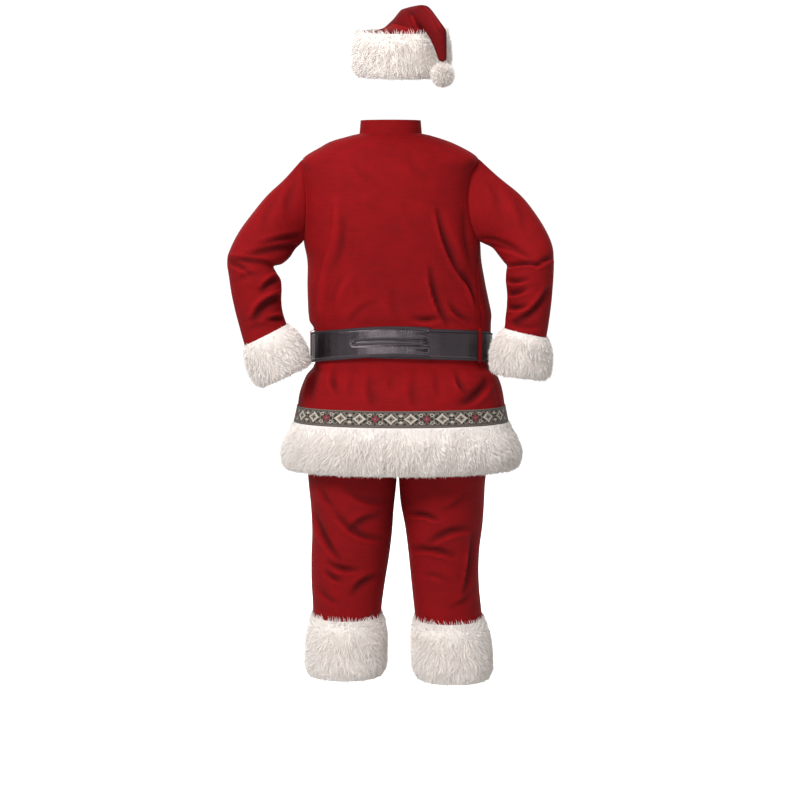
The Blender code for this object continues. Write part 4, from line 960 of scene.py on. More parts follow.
def band(name, face, normal, reach, lean, strands, node, seed, ring=True):
    """A plush band: a backing wall under part of the pile's reach, and the strands on it.

    The strands go into one piece for each seed step, so that none grows too large.
    """
    roots = face + normal * (reach * BACKING_SHARE)[None, :, None]
    loops = np.concatenate([roots, face[:, ::-1]], axis=1)
    backing = shell(f"{name}_backing", roots, normal, PLUSH_BACKING, ring=ring, loops=loops)
    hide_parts(node)
    sunk = roots - normal * ROOT_SINK
    height = reach * (1.0 - BACKING_SHARE) + TIP_REACH
    for step, count in enumerate(strands):
        if len(strands) == 1:
            part, part_normal, closed = sunk, normal, ring
        else:
            first = step * (len(sunk) - 1) // len(strands)
            last = (step + 1) * (len(sunk) - 1) // len(strands)
            part, part_normal, closed = sunk[first:last + 1], normal[first:last + 1], False
        label = f"{name}_pile" if len(strands) == 1 else f"{name}_pile_{step + 1}"
        pile(label, part, part_normal, height, lean, count, seed + step, ring=closed)


places = np.linspace(0, 1, 16)
face, normal, degrees = round_hem(HEM_FUR_TOP + (HEM_FUR_BOTTOM - HEM_FUR_TOP) * places, 124)
reach = smooth_curve(*zip(*HEM_PILE), places)
lean = np.interp(places, *HEM_LEAN)
band("hem", face + normal * LAY_GAP, normal, reach, lean, HEM_STRANDS, "hem_fur", 3,
     ring=False)


# Sleeve cuffs: tubes of the same plush round the sleeve ends, wide enough for a hand to pass.
# The pile lies towards the hand, and a few hairs stand up over the seam.
SLEEVE_PILE = ((0.0, 3), (0.12, 12), (0.35, 19), (0.65, 20), (0.88, 15), (1.0, 4))
SLEEVE_LEAN = ((0, 0.15, 0.8, 1), (-3, 11, 12, 5))
SLEEVE_STRANDS = (5400,)
for side, name, table, seed in ((1, "left", LEFT_SLEEVE, 11), (-1, "right", RIGHT_SLEEVE, 12)):
    places = np.linspace(0, 1, 14)
    face = sleeve_surface(table, side, CUFF_START + (CUFF_END - CUFF_START) * places, np.arange(44) / 44)
    normal = tube_normals(face)
    reach = smooth_curve(*zip(*SLEEVE_PILE), places)
    lean = np.interp(places, *SLEEVE_LEAN)
    band(f"cuff_{name}", face + normal * LAY_GAP, normal, reach, lean, SLEEVE_STRANDS,
         f"sleeve_cuff_{name}", seed)


# Belt: two lengths of black vinyl strap, 72 mm wide with a corded edge, that lap at the back.
# The left one ends in a gathered, stitched tab over the right one, and a raised rib with a
# groove above and below runs along it.
BELT_WIDTH = 72
BELT_WALL = 3.0
LEFT_STRAP = ((-13.5, -490), (0, -488), (45, -498), (90, -509), (135, -515), (187.5, -517))
RIGHT_STRAP = ((-187.5, -517), (-135, -516), (-90, -511), (-60, -502), (-13.5, -494), (15, -491))
BELT_STAND = 1.0
BELT_FADE = 30
BELT_LEVEL = -500.0
BELT_ROWS = ((-36, -26, 12), (-24, 24, 30), (26, 36, 12))
# A cord, groove or stitch has its place, half breadth and height, a rib, cut or tab the last two.
# The edge rolls off from its place over its breadth. The tab and its stitch are in degrees.
EDGE_ROLL = (34.5, 1.5)
EDGE_CORD = (33, 1.6, 0.5)
EDGE_GROOVE = (29.5, 1.1, 1.1)
RIB = (-58, 110)
RIB_GROOVES = (6.2, -6.6)
RIB_CUT = (2.0, 2.4)
RIB_RISE = (3.4, 1.2)
RIB_END = (2.2, 1.8)
TAB = (4.5, 1.3)
TAB_STITCH = (1.6, 0.6, 1.4)
VINYL_DARK = "070407"
VINYL_LIGHT = "110B10"
VINYL_GRAIN = 0.0032
VINYL_WEAR = 1 / 22
VINYL_GLOSS = (0.27, 0.37)
CORD_BAND = (0.0285, 0.031)
CORD_DULL = 0.4


def vinyl():
    """Near black coated cloth with a fine pebble grain, softly glossy, duller on its corded edges."""
    material, tree, shader = new_material("grained vinyl")
    place = add(tree, "UVMap", uv_map="cloth").outputs["UV"]
    grain = add(tree, "TexVoronoi", {"Vector": place, "Scale": 1 / VINYL_GRAIN}, feature="F1")
    wear = add(tree, "TexNoise", {"Vector": place, "Scale": 1 / VINYL_WEAR, "Detail": 4.0, "Roughness": 0.6})
    colour = add(tree, "Mix", {0: wear.outputs[0], 6: linear(VINYL_DARK), 7: linear(VINYL_LIGHT)},
                 data_type="RGBA")
    tree.links.new(colour.outputs[2], shader.inputs["Base Color"])
    gloss = add(tree, "MapRange", {0: wear.outputs[0], 1: 0.3, 2: 0.7, 3: VINYL_GLOSS[0],
                                   4: VINYL_GLOSS[1]})
    height = add(tree, "SeparateXYZ", {0: place}).outputs[1]
    off = add(tree, "Math", {0: height, 1: BELT_WIDTH * MM / 2}, operation="SUBTRACT")
    away = add(tree, "Math", {0: off.outputs[0]}, operation="ABSOLUTE")
    cord = add(tree, "MapRange", {0: away.outputs[0], 1: CORD_BAND[0], 2: CORD_BAND[1], 3: 0.0,
                                  4: CORD_DULL})
    rough = add(tree, "Math", {0: gloss.outputs[0], 1: cord.outputs[0]}, operation="ADD")
    tree.links.new(rough.outputs[0], shader.inputs["Roughness"])
    bump = add(tree, "Bump", {"Height": grain.outputs["Distance"], "Strength": 0.5, "Distance": 0.0006})
    tree.links.new(bump.outputs[0], shader.inputs["Normal"])
    shader.inputs["Specular IOR Level"].default_value = 0.5
    shader.inputs["Specular Tint"].default_value = linear("FFEFF8")
    return material


def swell(at, middle, breadth):
    """Gaussian of the distance from the middle, measured in half breadths."""
    return np.exp(-((at - middle) / breadth) ** 2)


def strap(name, table, raised, material, left):
    """Strap along the waist's section: flat, with a groove inside each corded edge.

    The overlap lifts one strap over the other. On the left one two more grooves leave the
    rib between them, and its tab end is drawn into gathers.
    """
    first, last = table[0][0], table[-1][0]
    degrees = np.linspace(first, last, 150 if left else 110)
    middle = smooth_curve([row[0] for row in table], [row[1] for row in table], degrees)
    start, stop = raised
    near = np.clip(1 - np.maximum(start - degrees, degrees - stop) / BELT_FADE, 0, 1)
    lift = LAY_GAP + BELT_STAND + near * near * (3 - 2 * near) * (BELT_WALL + LAY_GAP) + BELT_WALL
    waist = jacket_point(BELT_LEVEL, degrees)
    around = np.gradient(waist, axis=0)
    normal = np.stack([around[:, 1], -around[:, 0], 0 * around[:, 0]], axis=-1)
    normal /= np.linalg.norm(normal, axis=-1, keepdims=True)
    normal *= np.sign(np.sum(normal * (waist - waist.mean(axis=0))))
    half = BELT_WIDTH / 2
    up = np.concatenate([np.linspace(*span) for span in BELT_ROWS])
    edge = np.abs(up)
    profile = (-EDGE_ROLL[1] * np.clip((edge - EDGE_ROLL[0]) / EDGE_ROLL[1], 0, 1) ** 2
               + EDGE_CORD[2] * swell(edge, *EDGE_CORD[:2])
               - EDGE_GROOVE[2] * swell(edge, *EDGE_GROOVE[:2]))
    rows = np.broadcast_to(profile, (len(degrees), len(up))).copy()
    wave = 0.35 * np.sin(degrees * 0.31 + 1)[:, None] * np.cos(up / 24)[None, :]
    rows += wave + 0.2 * np.sin(degrees * 0.83)[:, None]
    if left:
        x = waist[:, 0]
        along = (np.clip(np.minimum(x - RIB[0], RIB[1] - x) / 3, 0, 1) * (degrees < 90))[:, None]
        for place in RIB_GROOVES:
            rows -= RIB_CUT[1] * along * swell(up, place, RIB_CUT[0])[None, :]
        rows += RIB_RISE[1] * along * swell(up, 0, RIB_RISE[0])[None, :]
        across = (swell(x, RIB[1], RIB_END[0]) * (degrees < 90))[:, None]
        rows -= RIB_END[1] * across * (np.abs(up) < RIB_GROOVES[0] + 1)[None, :]
        tab = swell(degrees, first, TAB[0])[:, None]
        gathers = np.sin(up * 0.74 + 2.4 * np.sin(up * 0.13)) + 0.6 * np.sin(up * 1.7 + 1)
        rows += TAB[1] * tab * gathers[None, :]
        rows -= TAB_STITCH[2] * swell(degrees, first + TAB_STITCH[0], TAB_STITCH[1])[:, None]
    face = waist[:, None] + normal[:, None] * (lift[:, None] + rows)[..., None]
    face[..., 2] = middle[:, None] + up[None, :]
    wide = np.repeat(normal[:, None], len(up), axis=1)
    inner = waist[:, None] + normal[:, None] * (lift - BELT_WALL)[:, None, None]
    inner = np.repeat(inner, len(up), axis=1)
    inner[..., 2] = face[..., 2]
    loops = np.concatenate([face, inner[:, ::-1]], axis=1)
    run = lengths(face)[0], (up + half) * MM
    item = shell(f"strap_{name}", face, wide, material, run=run, loops=loops)
    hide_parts(f"belt_strap_{name}")


VINYL = vinyl()
strap("left", LEFT_STRAP, (LEFT_STRAP[0][0], RIGHT_STRAP[-1][0]), VINYL, True)
strap("right", RIGHT_STRAP, (RIGHT_STRAP[0][0], LEFT_STRAP[-1][0] - 360), VINYL, False)


# Belt loops: narrow tabs of velour over the belt, sewn down above and below it.
LOOPS = ((84, LEFT_STRAP, "left"), (-56, RIGHT_STRAP, "right"))
LOOP_WIDTH = 15
LOOP_WALL = 1.2
LOOP_REACH = 8
LOOP_RADIUS = 205
LOOP_BEND = (5, 3)
LOOP_FLAT = 4
for degrees, table, name in LOOPS:
    half = BELT_WIDTH / 2
    middle = smooth_curve([row[0] for row in table], [row[1] for row in table], degrees)
    rise = np.linspace(-half - LOOP_REACH, half + LOOP_REACH, 34)
    over = BELT_WALL + 2 * LAY_GAP + BELT_STAND
    ease = np.clip((half + LOOP_BEND[0] - np.abs(rise)) / LOOP_BEND[1], 0, 1)
    lifts = LAY_GAP + (over - LAY_GAP) * ease * ease * (3 - 2 * ease) + LOOP_WALL
    spread = np.degrees(LOOP_WIDTH / 2 / LOOP_RADIUS)
    angles = np.linspace(degrees - spread, degrees + spread, 6)[:, None]
    levels = middle + rise[None, :]
    face = jacket_point(levels + 0 * angles, angles + 0 * levels)
    waist = jacket_point(BELT_LEVEL, angles)
    covered = (np.abs(rise) < half + LOOP_FLAT)[None, :, None]
    face[..., :2] = np.where(covered, waist[..., :2], face[..., :2])
    normal = jacket_normal(BELT_LEVEL + 0 * levels, angles + 0 * levels)
    face = face + normal * lifts[None, :, None]
    loop = shell(f"loop_{name}", face, normal, VELOUR, wall=LOOP_WALL)
    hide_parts(f"belt_loop_{name}")


# Buckle: a cast frame of polished brass, plain and rectangular, and a prong over both bars.
BUCKLE_WIDTH = 96
BUCKLE_HEIGHT = 92
BUCKLE_BAR = 13
BUCKLE_DEEP = 5
BUCKLE_CORNERS = (7, 3)
BUCKLE_RIM = 1.5
PRONG_LENGTH = 84
PRONG_THICK = 4
PRONG_WIDTH = 6
PRONG_SIDES = 16
BRASS_DARK = "A98438"
BRASS_LIGHT = "E2C271"
BRASS_WEAR = 1 / 140


def brass():
    """Polished brass: a warm metal whose gloss is broken by fine wear."""
    material, tree, shader = new_material("polished brass")
    place = add(tree, "TexCoord").outputs["Object"]
    wear = add(tree, "TexNoise", {"Vector": place, "Scale": 1 / BRASS_WEAR, "Detail": 5.0})
    colour = add(tree, "Mix", {0: wear.outputs[0], 6: linear(BRASS_DARK), 7: linear(BRASS_LIGHT)},
                 data_type="RGBA")
    gloss = add(tree, "MapRange", {0: wear.outputs[0], 1: 0.3, 2: 0.7, 3: 0.18, 4: 0.36})
    tree.links.new(colour.outputs[2], shader.inputs["Base Color"])
    tree.links.new(gloss.outputs[0], shader.inputs["Roughness"])
    shader.inputs["Metallic"].default_value = 1.0
    return material


def rounded_rectangle(half_x, half_z, corner, steps=7):
    """Outline of a rectangle whose corners are quarter circles of a few steps each."""
    turn = np.radians(np.concatenate([quarter * 90 + np.linspace(0, 90, steps) for quarter in range(4)]))
    sign_x = np.repeat((1, -1, -1, 1), steps)
    sign_z = np.repeat((1, 1, -1, -1), steps)
    return np.stack([sign_x * (half_x - corner) + corner * np.cos(turn),
                     sign_z * (half_z - corner) + corner * np.sin(turn)], axis=-1)


BRASS = brass()
front = jacket_point(BELT_LEVEL, 180.0)
outside = front[1] - (2 * (BELT_WALL + LAY_GAP) + BELT_STAND + LAY_GAP)
centre = np.array([front[0], outside, LEFT_STRAP[-1][1]])
turn = np.linspace(0, math.pi, 9)
insets = np.concatenate([[0], BUCKLE_BAR / 2 * (1 - np.cos(turn)), [BUCKLE_BAR]])
depths = np.concatenate([[0], BUCKLE_RIM + (BUCKLE_DEEP - BUCKLE_RIM) * np.sin(turn) ** 0.6, [0]])
rings = []
for inset, depth in zip(insets, depths):
    corner = BUCKLE_CORNERS[0] + (BUCKLE_CORNERS[1] - BUCKLE_CORNERS[0]) * inset / BUCKLE_BAR
    outline = rounded_rectangle(BUCKLE_WIDTH / 2 - inset, BUCKLE_HEIGHT / 2 - inset, corner)
    rings.append(np.stack([centre[0] + outline[:, 0], centre[1] - depth + 0 * outline[:, 0],
                           centre[2] + outline[:, 1]], axis=-1))
rings = np.array(rings).transpose(1, 0, 2)
k, j = np.meshgrid(np.arange(len(rings)), np.arange(rings.shape[1]), indexing="ij")
index = np.arange(rings.shape[0] * rings.shape[1]).reshape(rings.shape[:2])
beyond, after = (k + 1) % rings.shape[0], (j + 1) % rings.shape[1]
faces = np.stack([index[k, j], index[k, after], index[beyond, after], index[beyond, j]], axis=-1)
buckle = piece("buckle_ring", rings.reshape(-1, 3), faces.reshape(-1, 4), BRASS)
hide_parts("buckle_frame")

turn = np.linspace(0, 2 * math.pi, PRONG_SIDES, endpoint=False)
place = np.linspace(-1, 1, 22)
thick = np.sqrt(np.clip(1 - np.abs(place) ** 12, 0.02, 1))
x = centre[0] + place * PRONG_LENGTH / 2
y = centre[1] - BUCKLE_DEEP - LAY_GAP - PRONG_THICK / 2 + np.outer(PRONG_THICK / 2 * thick, np.sin(turn))
z = centre[2] + np.outer(PRONG_WIDTH / 2 * thick, np.cos(turn))
rings = np.stack([np.repeat(x[:, None], PRONG_SIDES, axis=1), y, z], axis=-1)
ends = [np.repeat(end.mean(axis=1, keepdims=True), PRONG_SIDES, axis=1) for end in (rings[:1], rings[-1:])]
rings = np.concatenate([ends[0], rings, ends[1]])
index = np.arange(rings.shape[0] * PRONG_SIDES).reshape(-1, PRONG_SIDES)
k, j = np.meshgrid(np.arange(rings.shape[0] - 1), np.arange(PRONG_SIDES), indexing="ij")
after = (j + 1) % PRONG_SIDES
faces = np.stack([index[k, j], index[k, after], index[k + 1, after], index[k + 1, j]], axis=-1)
prong = piece("prong_bar", rings.reshape(-1, 3), faces.reshape(-1, 4), BRASS)
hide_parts("buckle_prong")


# Buttons: four domed black buttons of moulded plastic down the lap, each with a raised rim.
BUTTONS = (-90, -189, -288, -387)
BUTTON_DARK = "0E0D0E"
BUTTON_LIGHT = "1C1A1C"
BUTTON_FLOW = 1 / 300
BUTTON_ROUND = 32
BUTTON_PROFILE = ((0.0, 0.0), (10.2, 0.0), (11.0, 0.8), (10.9, 2.2), (9.9, 3.0), (8.6, 3.0), (7.6, 2.2),
                  (5.6, 3.2), (2.8, 3.8), (0.0, 4.0))


def turned(points):
    """Points and triangles of a shape turned about a line, its first and last rows one point each.

    The first axis of the grid is the turns and the second its rows.
    """
    index = np.arange(points.shape[0] * points.shape[1]).reshape(points.shape[:2])
    index[:, 0], index[:, -1] = index[0, 0], index[0, -1]
    k, j = np.meshgrid(np.arange(points.shape[0]), np.arange(points.shape[1] - 1), indexing="ij")
    after = (k + 1) % points.shape[0]
    quads = np.stack([index[k, j], index[k, j + 1], index[after, j + 1], index[after, j]], axis=-1)
    quads = quads.reshape(-1, 4)
    faces = np.concatenate([quads[:, (0, 1, 2)], quads[:, (0, 2, 3)]])
    one, two, three = faces.T
    faces = faces[(one != two) & (two != three) & (one != three)]
    used, faces = np.unique(faces, return_inverse=True)
    return points.reshape(-1, 3)[used], faces.reshape(-1, 3)


def button_plastic():
    """Moulded black plastic, glossy, with faint flow marks in the gloss."""
    material, tree, shader = new_material("moulded plastic")
    place = add(tree, "TexCoord").outputs["Object"]
    flow = add(tree, "TexNoise", {"Vector": place, "Scale": 1 / BUTTON_FLOW, "Detail": 2.0})
    gloss = add(tree, "MapRange", {0: flow.outputs[0], 1: 0.3, 2: 0.7, 3: 0.15, 4: 0.3})
    colour = add(tree, "Mix", {0: flow.outputs[0], 6: linear(BUTTON_DARK), 7: linear(BUTTON_LIGHT)},
                 data_type="RGBA")
    tree.links.new(colour.outputs[2], shader.inputs["Base Color"])
    tree.links.new(gloss.outputs[0], shader.inputs["Roughness"])
    return material


BUTTON_PLASTIC = button_plastic()
for number, level in enumerate(BUTTONS, start=1):
    place = jacket_point(float(level), 180.0)
    slope = jacket_point(level + 10.0, 180.0) - jacket_point(level - 10.0, 180.0)
    slope /= np.linalg.norm(slope)
    out = np.array([0.0, -slope[2], slope[1]])
    turn = np.linspace(0, 2 * math.pi, BUTTON_ROUND, endpoint=False)[:, None]
    radius, height = (np.array(side)[None, :] for side in zip(*BUTTON_PROFILE))
    aside = np.array([1.0, 0.0, 0.0])
    points = (place + (LAY_GAP + height)[..., None] * out + (radius * np.cos(turn))[..., None] * aside
              + (radius * np.sin(turn))[..., None] * slope)
    points, faces = turned(points)
    button = piece(f"button_disc_{number}", points, faces, BUTTON_PLASTIC)
    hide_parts(f"button_{number}")


# Trousers: a back and a front panel of velour for each leg, straight and full, with seams at
# the outside, the inside and the middle. Creases run across behind the thigh and the knee.
HIP_COLUMNS = ("z", "middle", "half_width", "back", "front")
HIPS = (
    (-470, 0, 172, 88, 112),
    (-510, 0, 176, 92, 118),
    (-560, 1, 184, 104, 122),
    (-640, 3, 196, 120, 122),
    (-720, 5, 206, 124, 118),
    (-800, 5, 214, 120, 112),
)
LEG_COLUMNS = ("z", "outer", "inner", "back", "front")
LEFT_LEG = (
    (-640, 222, 6, 122, 118),
    (-800, 222, 6, 121, 110),
    (-839, 219, 9, 117, 107),
    (-898, 214, 15, 110, 103),
    (-956, 212, 19, 105, 99),
    (-1015, 214, 26, 101, 94),
    (-1074, 214, 36, 97, 89),
    (-1132, 211, 44, 93, 85),
    (-1180, 211, 46, 91, 83),
    (-1310, 218, 48, 91, 82),
)
RIGHT_LEG = (
    (-640, -211, 4, 122, 118),
    (-800, -209, 4, 121, 110),
    (-839, -205, 2, 116, 107),
    (-878, -203, -1, 112, 104),
    (-937, -199, -12, 106, 99),
    (-995, -192, -19, 100, 94),
    (-1034, -190, -23, 98, 91),
    (-1093, -192, -29, 95, 87),
    (-1132, -196, -33, 93, 85),
    (-1180, -201, -38, 91, 83),
    (-1310, -212, -46, 91, 82),
)
CROTCH = -795
FORK_FROM = -600
FORK_EASE = 1.6
HIP_ROUND = 2.2
LEG_ROUND = 0.9
LEG_BACK = 3
LEG_TUCK = 0.1
LEG_GRIDS = (("back", 46, (46, 78)), ("front", 24, (36, 40)))
WAIST_SEAM = -510
WAISTBAND_TOP = -470
LEG_FUR = {"left": (-1157, -1302), "right": (-1165, -1311)}
TROUSER_FOLDS = (
    (186, -838, 160, -878, 6, 9, 4, 0.5),
    (202, -905, 146, -1004, 8, 10, 6.5, 0.6),
    (150, -898, 48, -962, 12, 10, 6, 0.5),
    (120, -842, 40, -872, 8, 12, 3.5, 0.5),
    (168, -1018, 104, -1032, 5, 9, 7, 0.5),
    (176, -1040, 142, -1058, 4, 8, 5.5, 0.5),
    (58, -1050, 112, -1086, 8, 12, 6, 0.5),
    (56, -905, 116, -935, 8, 13, 5, 0.5),
    (196, -1080, 150, -1112, 6, 10, 3.5, 0.5),
    (-26, -902, -84, -908, -4, 8, 6.5, 0.6),
    (-74, -964, -158, -936, -8, 11, 7, 0.5),
    (-34, -988, -126, -998, -8, 10, 6.5, 0.6),
    (-172, -950, -154, -1088, -4, 9, 6, 0.6),
    (-150, -850, -104, -884, -6, 11, 3.5, 0.5),
    (-60, -1046, -120, -1062, -6, 10, 3, 0.5),
    (-172, -1090, -128, -1118, -5, 10, 3.5, 0.5),
)
TROUSER_FRONT_FOLDS = (
    (190, -860, 90, -900, 8, 12, 4, 0.5),
    (60, -900, 150, -960, 8, 12, 4, 0.5),
    (190, -1000, 90, -1030, 8, 11, 5, 0.5),
    (-180, -870, -80, -900, -8, 12, 4, 0.5),
    (-40, -920, -130, -960, -8, 12, 4, 0.5),
    (-170, -1000, -60, -1034, -8, 11, 5, 0.5),
)


def trouser_grid(side, part, rows, count):
    """Half sections of the hips above and of the leg below, mixed over the fork's height."""
    z = rows[None, :]
    share = np.linspace(0, 1, count)[:, None]
    keys = [row[0] for row in HIPS]
    hips = {name: column(HIPS, HIP_COLUMNS, name, keys, z) for name in HIP_COLUMNS[1:]}
    across, along = superellipse(np.radians(90 * (1 - share)) + 0 * z, HIP_ROUND)
    facing = 1 if part == "back" else -1
    hip_x = hips["middle"] + side * hips["half_width"] * across
    hip_y = facing * hips[part] * along
    legs = LEFT_LEG if side > 0 else RIGHT_LEG
    keys = [row[0] for row in legs]
    read = {name: column(legs, LEG_COLUMNS, name, keys, z) for name in LEG_COLUMNS[1:]}
    mid_x = (read["outer"] + read["inner"]) / 2
    leg_x = mid_x + (read["outer"] - mid_x) * np.cos(math.pi * share)
    leg_y = LEG_BACK + facing * read[part] * np.clip(np.sin(math.pi * share), 0, 1) ** LEG_ROUND
    fork = np.clip((FORK_FROM - z) / (FORK_FROM - CROTCH), 0, 1) ** FORK_EASE
    x = hip_x * (1 - fork) + leg_x * fork
    y = hip_y * (1 - fork) + leg_y * fork
    return np.stack([x, y, z + 0 * x], axis=-1)


def panel_normals(grid, rows):
    """Cross product of steps across and down, turned into the seam's plane at each seam."""
    normal = np.cross(np.gradient(grid, axis=0), np.gradient(grid, axis=1))
    normal /= np.maximum(np.linalg.norm(normal, axis=-1, keepdims=True), 1e-9)
    normal *= np.sign(np.sum(normal * (grid - grid.mean(axis=(0, 1)))))
    normal[0, :, 1] = 0
    normal[-1, rows >= CROTCH, 0] = 0
    normal[-1, rows <= CROTCH, 1] = 0
    normal[-1, rows == CROTCH, 2] = -1
    return normal / np.linalg.norm(normal, axis=-1, keepdims=True)


for side, name in ((1, "left"), (-1, "right")):
    top, bottom = LEG_FUR[name]
    for part, count, steps in LEG_GRIDS:
        hidden = top + (bottom - top) * LEG_TUCK
        rows = np.concatenate([np.linspace(WAIST_SEAM, CROTCH, steps[0]),
                               np.linspace(CROTCH, hidden, steps[1])[1:]])
        face = trouser_grid(side, part, rows, count)
        normal = panel_normals(face, rows)
        folds, facing = (TROUSER_FOLDS, 1) if part == "back" else (TROUSER_FRONT_FOLDS, -1)
        face, crease = cloth_face(face, normal, (folds,), (facing,))
        face = trimmed(face, SEAM_GAP / 2)
        panel = shell(f"leg_{part}_{name}", face, normal, VELOUR, crease=crease)
        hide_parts(f"trouser_{part}_{name}")


# Waistband: a tube of velour over wide elastic, which draws it into many small gathers.
GATHERS = 46
GATHER_DEPTH = 1.1
degrees = np.arange(4 * GATHERS) * 360 / (4 * GATHERS)
z = np.linspace(WAIST_SEAM + SEAM_GAP, WAISTBAND_TOP, 8)[None, :]
keys = [row[0] for row in HIPS]
read = {name: column(HIPS, HIP_COLUMNS, name, keys, z) for name in HIP_COLUMNS[1:]}
across, along = superellipse(np.radians(degrees)[:, None], HIP_ROUND)
depth = np.where(along > 0, read["back"], read["front"])
face = np.stack([read["middle"] + read["half_width"] * across, depth * along, z + 0 * across], axis=-1)
normal = tube_normals(face)
face = face - normal * (GATHER_DEPTH * (1 + np.sin(np.radians(degrees) * GATHERS)))[:, None, None]
waistband = shell("elastic_waist", face, normal, VELOUR, ring=True)
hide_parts("waistband")


# Leg bands: plush tubes round the trouser ends. Hairs at the upper edge stand up over the
# velour, and the rest lie down the band in loose, swirled locks.
LEG_PILE = ((0.0, 3), (0.10, 11), (0.30, 17), (0.60, 18), (0.86, 15), (1.0, 4))
LEG_LEAN = ((0, 0.1, 0.22, 0.8, 1), (-15, -11, 8, 12, 5))
LEG_STRANDS = (7500,)
LEG_BAND_GAP = 0.6
for side, name, legs, seed in ((1, "left", LEFT_LEG, 21), (-1, "right", RIGHT_LEG, 22)):
    top, bottom = LEG_FUR[name]
    places = np.linspace(0, 1, 16)
    keys = [row[0] for row in legs]
    z = (top + (bottom - top) * places)[None, :]
    turn = (np.arange(56) / 56)[:, None] * 2 * math.pi
    read = {column_name: column(legs, LEG_COLUMNS, column_name, keys, z) for column_name in LEG_COLUMNS[1:]}
    mid_x = (read["outer"] + read["inner"]) / 2
    x = mid_x + (read["outer"] - mid_x) * np.cos(turn)
    swing = np.sign(np.sin(turn)) * np.abs(np.sin(turn)) ** LEG_ROUND
    y = LEG_BACK + np.where(swing > 0, read["back"], read["front"]) * swing
    face = np.stack([x, y, z + 0 * x], axis=-1)
    normal = tube_normals(face)
    reach = smooth_curve(*zip(*LEG_PILE), places)
    lean = np.interp(places, *LEG_LEAN)
    band(f"leg_{name}", face + normal * (LAY_GAP + LEG_BAND_GAP), normal, reach, lean, LEG_STRANDS,
         f"leg_fur_{name}", seed)


# Cap crown: a long cone of velour sewn to the band's inside. It stands, folds over and falls
# behind the wearer's right side, so its tip hangs outside the band.
FALL = (-0.58, 0.8146)
CROWN_COLUMNS = ("over", "over_z", "under", "under_z", "deep")
CROWN = (
    (-101, 214, 100, 206, 95),
    (-98, 226, 99, 221, 92),
    (-77, 236, 99, 231, 78),
    (-44, 248, 100, 238, 50),
    (-12, 269, 100, 238, 39),
    (13, 289, 101, 237, 33),
    (50, 293, 102, 236, 29),
    (89, 293, 105, 235, 26),
    (131, 261, 112, 226, 22),
    (165, 233, 124, 210, 18),
    (169, 197, 138, 190, 14),
    (173, 163, 151, 162, 8),
)
HAT_MIDDLE = (-4, 0)
HAT_HALF = (98, 108)
HAT_SLACK = 1.0
CROWN_SOFTNESS = 0.3
CROWN_SHADE = 0.68
CROWN_GRID = (52, 64)
TIP_CLOSE = (4.0, 1.5)
CROWN_FOLDS = (
    (18, 247, -36, 230, 3, 7, 7, 0.5),
    (-24, 276, -40, 240, 5, 9, 2.5, 0.5),
    (-58, 286, -92, 232, -6, 9, 3.5, 0.5),
    (44, 250, 20, 238, 4, 8, 3, 0.5),
)


def crown_rings(places, sides, wall):
    """Ellipses between the over and under edges in the upright plane of the fall.

    The mouth is an ellipse inside the band, and it eases into the sections over two rows.
    """
    keys = np.arange(len(CROWN))
    read = {}
    for name in CROWN_COLUMNS:
        straight = np.interp(places, keys, [row[CROWN_COLUMNS.index(name)] for row in CROWN])
        bend = column(CROWN, CROWN_COLUMNS, name, keys, places) - straight
        read[name] = straight + bend * CROWN_SOFTNESS
    fall = np.array([FALL[0], FALL[1], 0.0])
    across = np.array([FALL[1], -FALL[0], 0.0])
    rise = np.array([0.0, 0.0, 1.0])
    over = read["over"][:, None] * fall + read["over_z"][:, None] * rise
    under = read["under"][:, None] * fall + read["under_z"][:, None] * rise
    middle = (over + under) / 2
    reach = over - middle
    reach *= 1 - wall / np.linalg.norm(reach, axis=-1, keepdims=True)
    turn = (np.arange(sides) * 2 * math.pi / sides)[:, None, None]
    rings = middle + reach * np.cos(turn) + (read["deep"] - wall)[:, None] * across * np.sin(turn)
    towards = -fall * np.cos(turn) + across * np.sin(turn)
    mouth = rings.copy()
    for axis in (0, 1):
        mouth[..., axis] = towards[..., axis] * (HAT_HALF[axis] - HAT_SLACK - wall)
    fade = np.clip(1 - places / 2, 0, 1)[None, :, None]
    return rings * (1 - fade) + mouth * fade + np.array([HAT_MIDDLE[0], HAT_MIDDLE[1], 0.0])


places = np.linspace(0, len(CROWN) - 1, CROWN_GRID[1])
outer = crown_rings(places, CROWN_GRID[0], 0.0)
inner = crown_rings(places, CROWN_GRID[0], WALL)
normal = tube_normals(outer)
outer, crease = folded(outer, normal, CROWN_FOLDS, 1)
# Painted shade over the whole crown: a fixed share added to every point's crease depth darkens all its
# velour.
crease = np.clip(crease + CROWN_SHADE, -1, 1)
crease = np.concatenate([crease, np.zeros((CROWN_GRID[0], 1))], axis=1)
tip = outer[:, -1].mean(axis=0)
tip_out, tip_in = (np.repeat((tip - np.array([0.0, 0.0, drop]))[None, None], CROWN_GRID[0], axis=0)
                   for drop in TIP_CLOSE)
face = np.concatenate([outer, tip_out], axis=1)
loops = np.concatenate([face, tip_in, inner[:, ::-1]], axis=1)
crown = shell("cap_crown", face, face, VELOUR, ring=True, loops=loops, crease=crease)
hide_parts("hat_crown")


